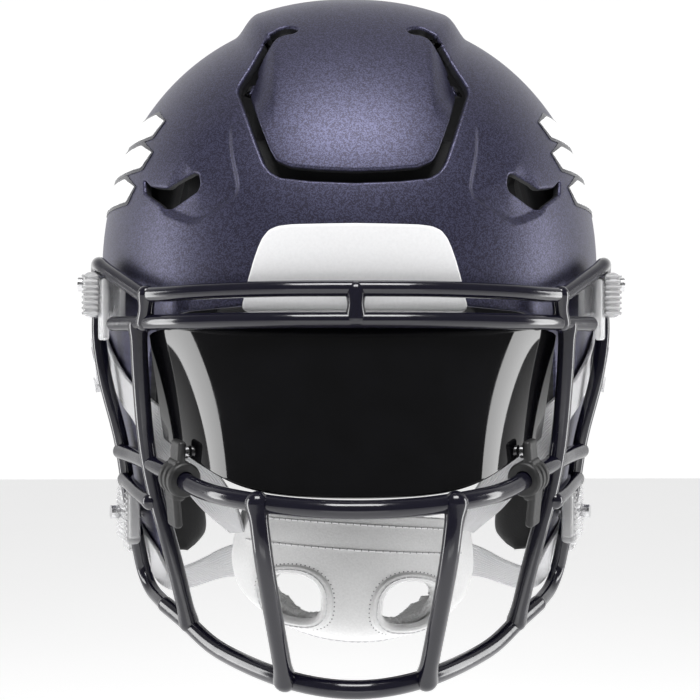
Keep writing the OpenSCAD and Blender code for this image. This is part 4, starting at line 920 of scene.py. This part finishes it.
# ---------------------------------------------------------------- clips and rings that hold the mask and the shield
def moved(part, M=None, at=(0, 0, 0)):
    v, f, n = part
    if M is not None:
        v, n = v @ np.asarray(M).T, n @ np.asarray(M).T
    return v + np.array(at, float), f, n
def rz(a):
    c, s = math.cos(math.radians(a)), math.sin(math.radians(a)); return np.array([[c, -s, 0], [s, c, 0], [0, 0, 1.]])
RX = np.array([[0, 0, 1.], [1, 0, 0], [0, 1, 0]])      # a lathe about Z laid along +X
for sx, side in ((1, "left"), (-1, "right")):
    fx = (lambda q: q) if sx > 0 else flip
    # upper clip: ribbed clear block over the pivot, on a plate that follows the shell
    pts = [rbox((6.6, 24, 19), 2.6, (109.6, -80, 23.2)), rbox((6, 20, 16), 2.4, (105.0, -79.5, 22.5))]
    for k in range(8):
        pts.append(rbox((7.0, 24.5, 1.25), .55, (109.75, -80, 15.4 + 2.22 * k)))
    pts.append(moved(rbox((2.6, 30, 17), 1.2), rz(-23), (101.6, -79, 20.5)))
    pts.append(moved(rbox((3.2, 9, 26), 1.5), rz(-23), (104.2, -90.6, 17)))
    v, f, n = fx(weld(pts))
    add_mesh("upper_mask_clip_" + side, v, f, n, MATS["clip_clear"], "shell", ["upper_clip_" + side])
    # lower quick-release clip
    pts = [rbox((6.6, 22, 26), 2.4, (6.0, 1, 0))]
    for k in range(9):
        pts.append(rbox((1.3, 20, 1.3), .6, (9.1, 1, -9.6 + 2.4 * k)))
    pts += [rbox((5.0, 3, 20), 1.4, (6.0, -10.2, 0)), rbox((4.5, 12, 5), 1.8, (5, 3, -14.6))]
    v, f, n = fx(moved(weld(pts), rz(-20), (92.4, -57, -72)))
    add_mesh("lower_mask_clip_" + side, v, f, n, MATS["clip_clear"], "facemask", ["lower_clip_" + side])
    # rubber ring round the mouth wire, with two grooves and a tongue to the shield
    d = unit([.52, .84, .15]); x = unit(np.cross([0, 0, 1], d)); y = np.cross(d, x); M = np.stack([x, y, d], 1)
    ring_ = lathe(rounded([(3.7, -5.4), (6.3, -5.4), (7.0, -4.6), (7.0, -2.6), (6.3, -2.2), (6.3, -1.4), (7.0, -1.0), (7.0, 1.0), (6.3, 1.4), (6.3, 2.2), (7.0, 2.6), (7.0, 4.6), (6.3, 5.4), (3.7, 5.4), (3.7, -5.4)], .35, 3), 44)
    v, f, n = fx(moved(weld([ring_, rbox((3.6, 11, 8.2), 1.5, (-1.3, 9.6, 0)), rbox((5.4, 4.4, 8.8), 1.6, (-1.2, 5.6, 0)), moved(rbox((3.4, 17, 8.6), 1.5), rz(9), (-1.6, -11.2, 0)), moved(rbox((5.6, 7, 9.4), 2.0), rz(9), (-1.5, -5.4, 0))]), M, (68.5, -127.6, -50)))
    add_mesh("shield_ring_" + side, v, f, n, MATS["ring_rubber"], "facemask", ["shield_clip_" + side])

# ---------------------------------------------------------------- stage, light and camera
def plane(name, size, at, mat_):
    me = bpy.data.meshes.new(name); s = size / 2
    me.from_pydata([(-s, -s, 0), (s, -s, 0), (s, s, 0), (-s, s, 0)], [], [(0, 1, 2, 3)])
    o = bpy.data.objects.new(name, me); o.location = at; me.materials.append(mat_); scene.collection.objects.link(o); return o
m, nt, b = principled("floor_pale", (.90, .90, .90), .9)
t = tex(nt, "ShaderNodeTexNoise", 3, detail=2)
nt.links.new(ramp(nt, t.outputs["Fac"], [(.3, g3(.90)), (.7, g3(.915))]), b.inputs["Base Color"])
b.inputs["Emission Color"].default_value = (1, 1, 1, 1); b.inputs["Emission Strength"].default_value = .46
plane("floor", 8, (0, 0, -.45), m)

def softbox(name, at, aim, sx_, sy_, power, col=(1, 1, 1)):
    from mathutils import Vector
    L = bpy.data.lights.new(name, "AREA"); L.shape = "RECTANGLE"; L.size = sx_; L.size_y = sy_; L.energy = power; L.color = col
    o = bpy.data.objects.new(name, L); o.location = at
    o.rotation_euler = (Vector(aim) - Vector(at)).to_track_quat("-Z", "Y").to_euler(); scene.collection.objects.link(o); return o
softbox("key_top", (0, -.70, 1.10), (0, -.02, .06), .85, .5, 16.0)
softbox("side_left", (-.95, .0, .0), (0, -.05, -.02), .27, .80, 4.8)
softbox("side_right", (.95, .0, .0), (0, -.05, -.02), .27, .80, 4.8)
softbox("fill_low", (0, -1.1, -.42), (0, 0, -.05), 1.1, .20, .9)

world = bpy.data.worlds.new("studio"); scene.world = world; world.use_nodes = True
wn = world.node_tree; bg = wn.nodes["Background"]
tc = wn.nodes.new("ShaderNodeTexCoord"); sp = wn.nodes.new("ShaderNodeSeparateXYZ"); mr = wn.nodes.new("ShaderNodeMapRange")
mr.inputs["From Min"].default_value = .10; mr.inputs["From Max"].default_value = .80; mr.inputs["To Min"].default_value = .16; mr.inputs["To Max"].default_value = 1.02
wn.links.new(tc.outputs["Generated"], sp.inputs["Vector"]); wn.links.new(sp.outputs["Y"], mr.inputs["Value"]); wn.links.new(mr.outputs["Result"], bg.inputs["Strength"])
bg.inputs["Color"].default_value = (1, 1, 1, 1)
scene.view_settings.view_transform = "Standard"

cam = bpy.data.cameras.new("camera"); cam.lens = 68.5; cam.sensor_width = 36; cam.clip_start = .01
co = bpy.data.objects.new("camera", cam); scene.collection.objects.link(co); scene.camera = co
az = math.radians(-1)
co.location = (.65 * math.sin(az) + .0005 * math.cos(az), -.65 * math.cos(az) + .0005 * math.sin(az), 0)
co.rotation_euler = (math.radians(90), 0, az)
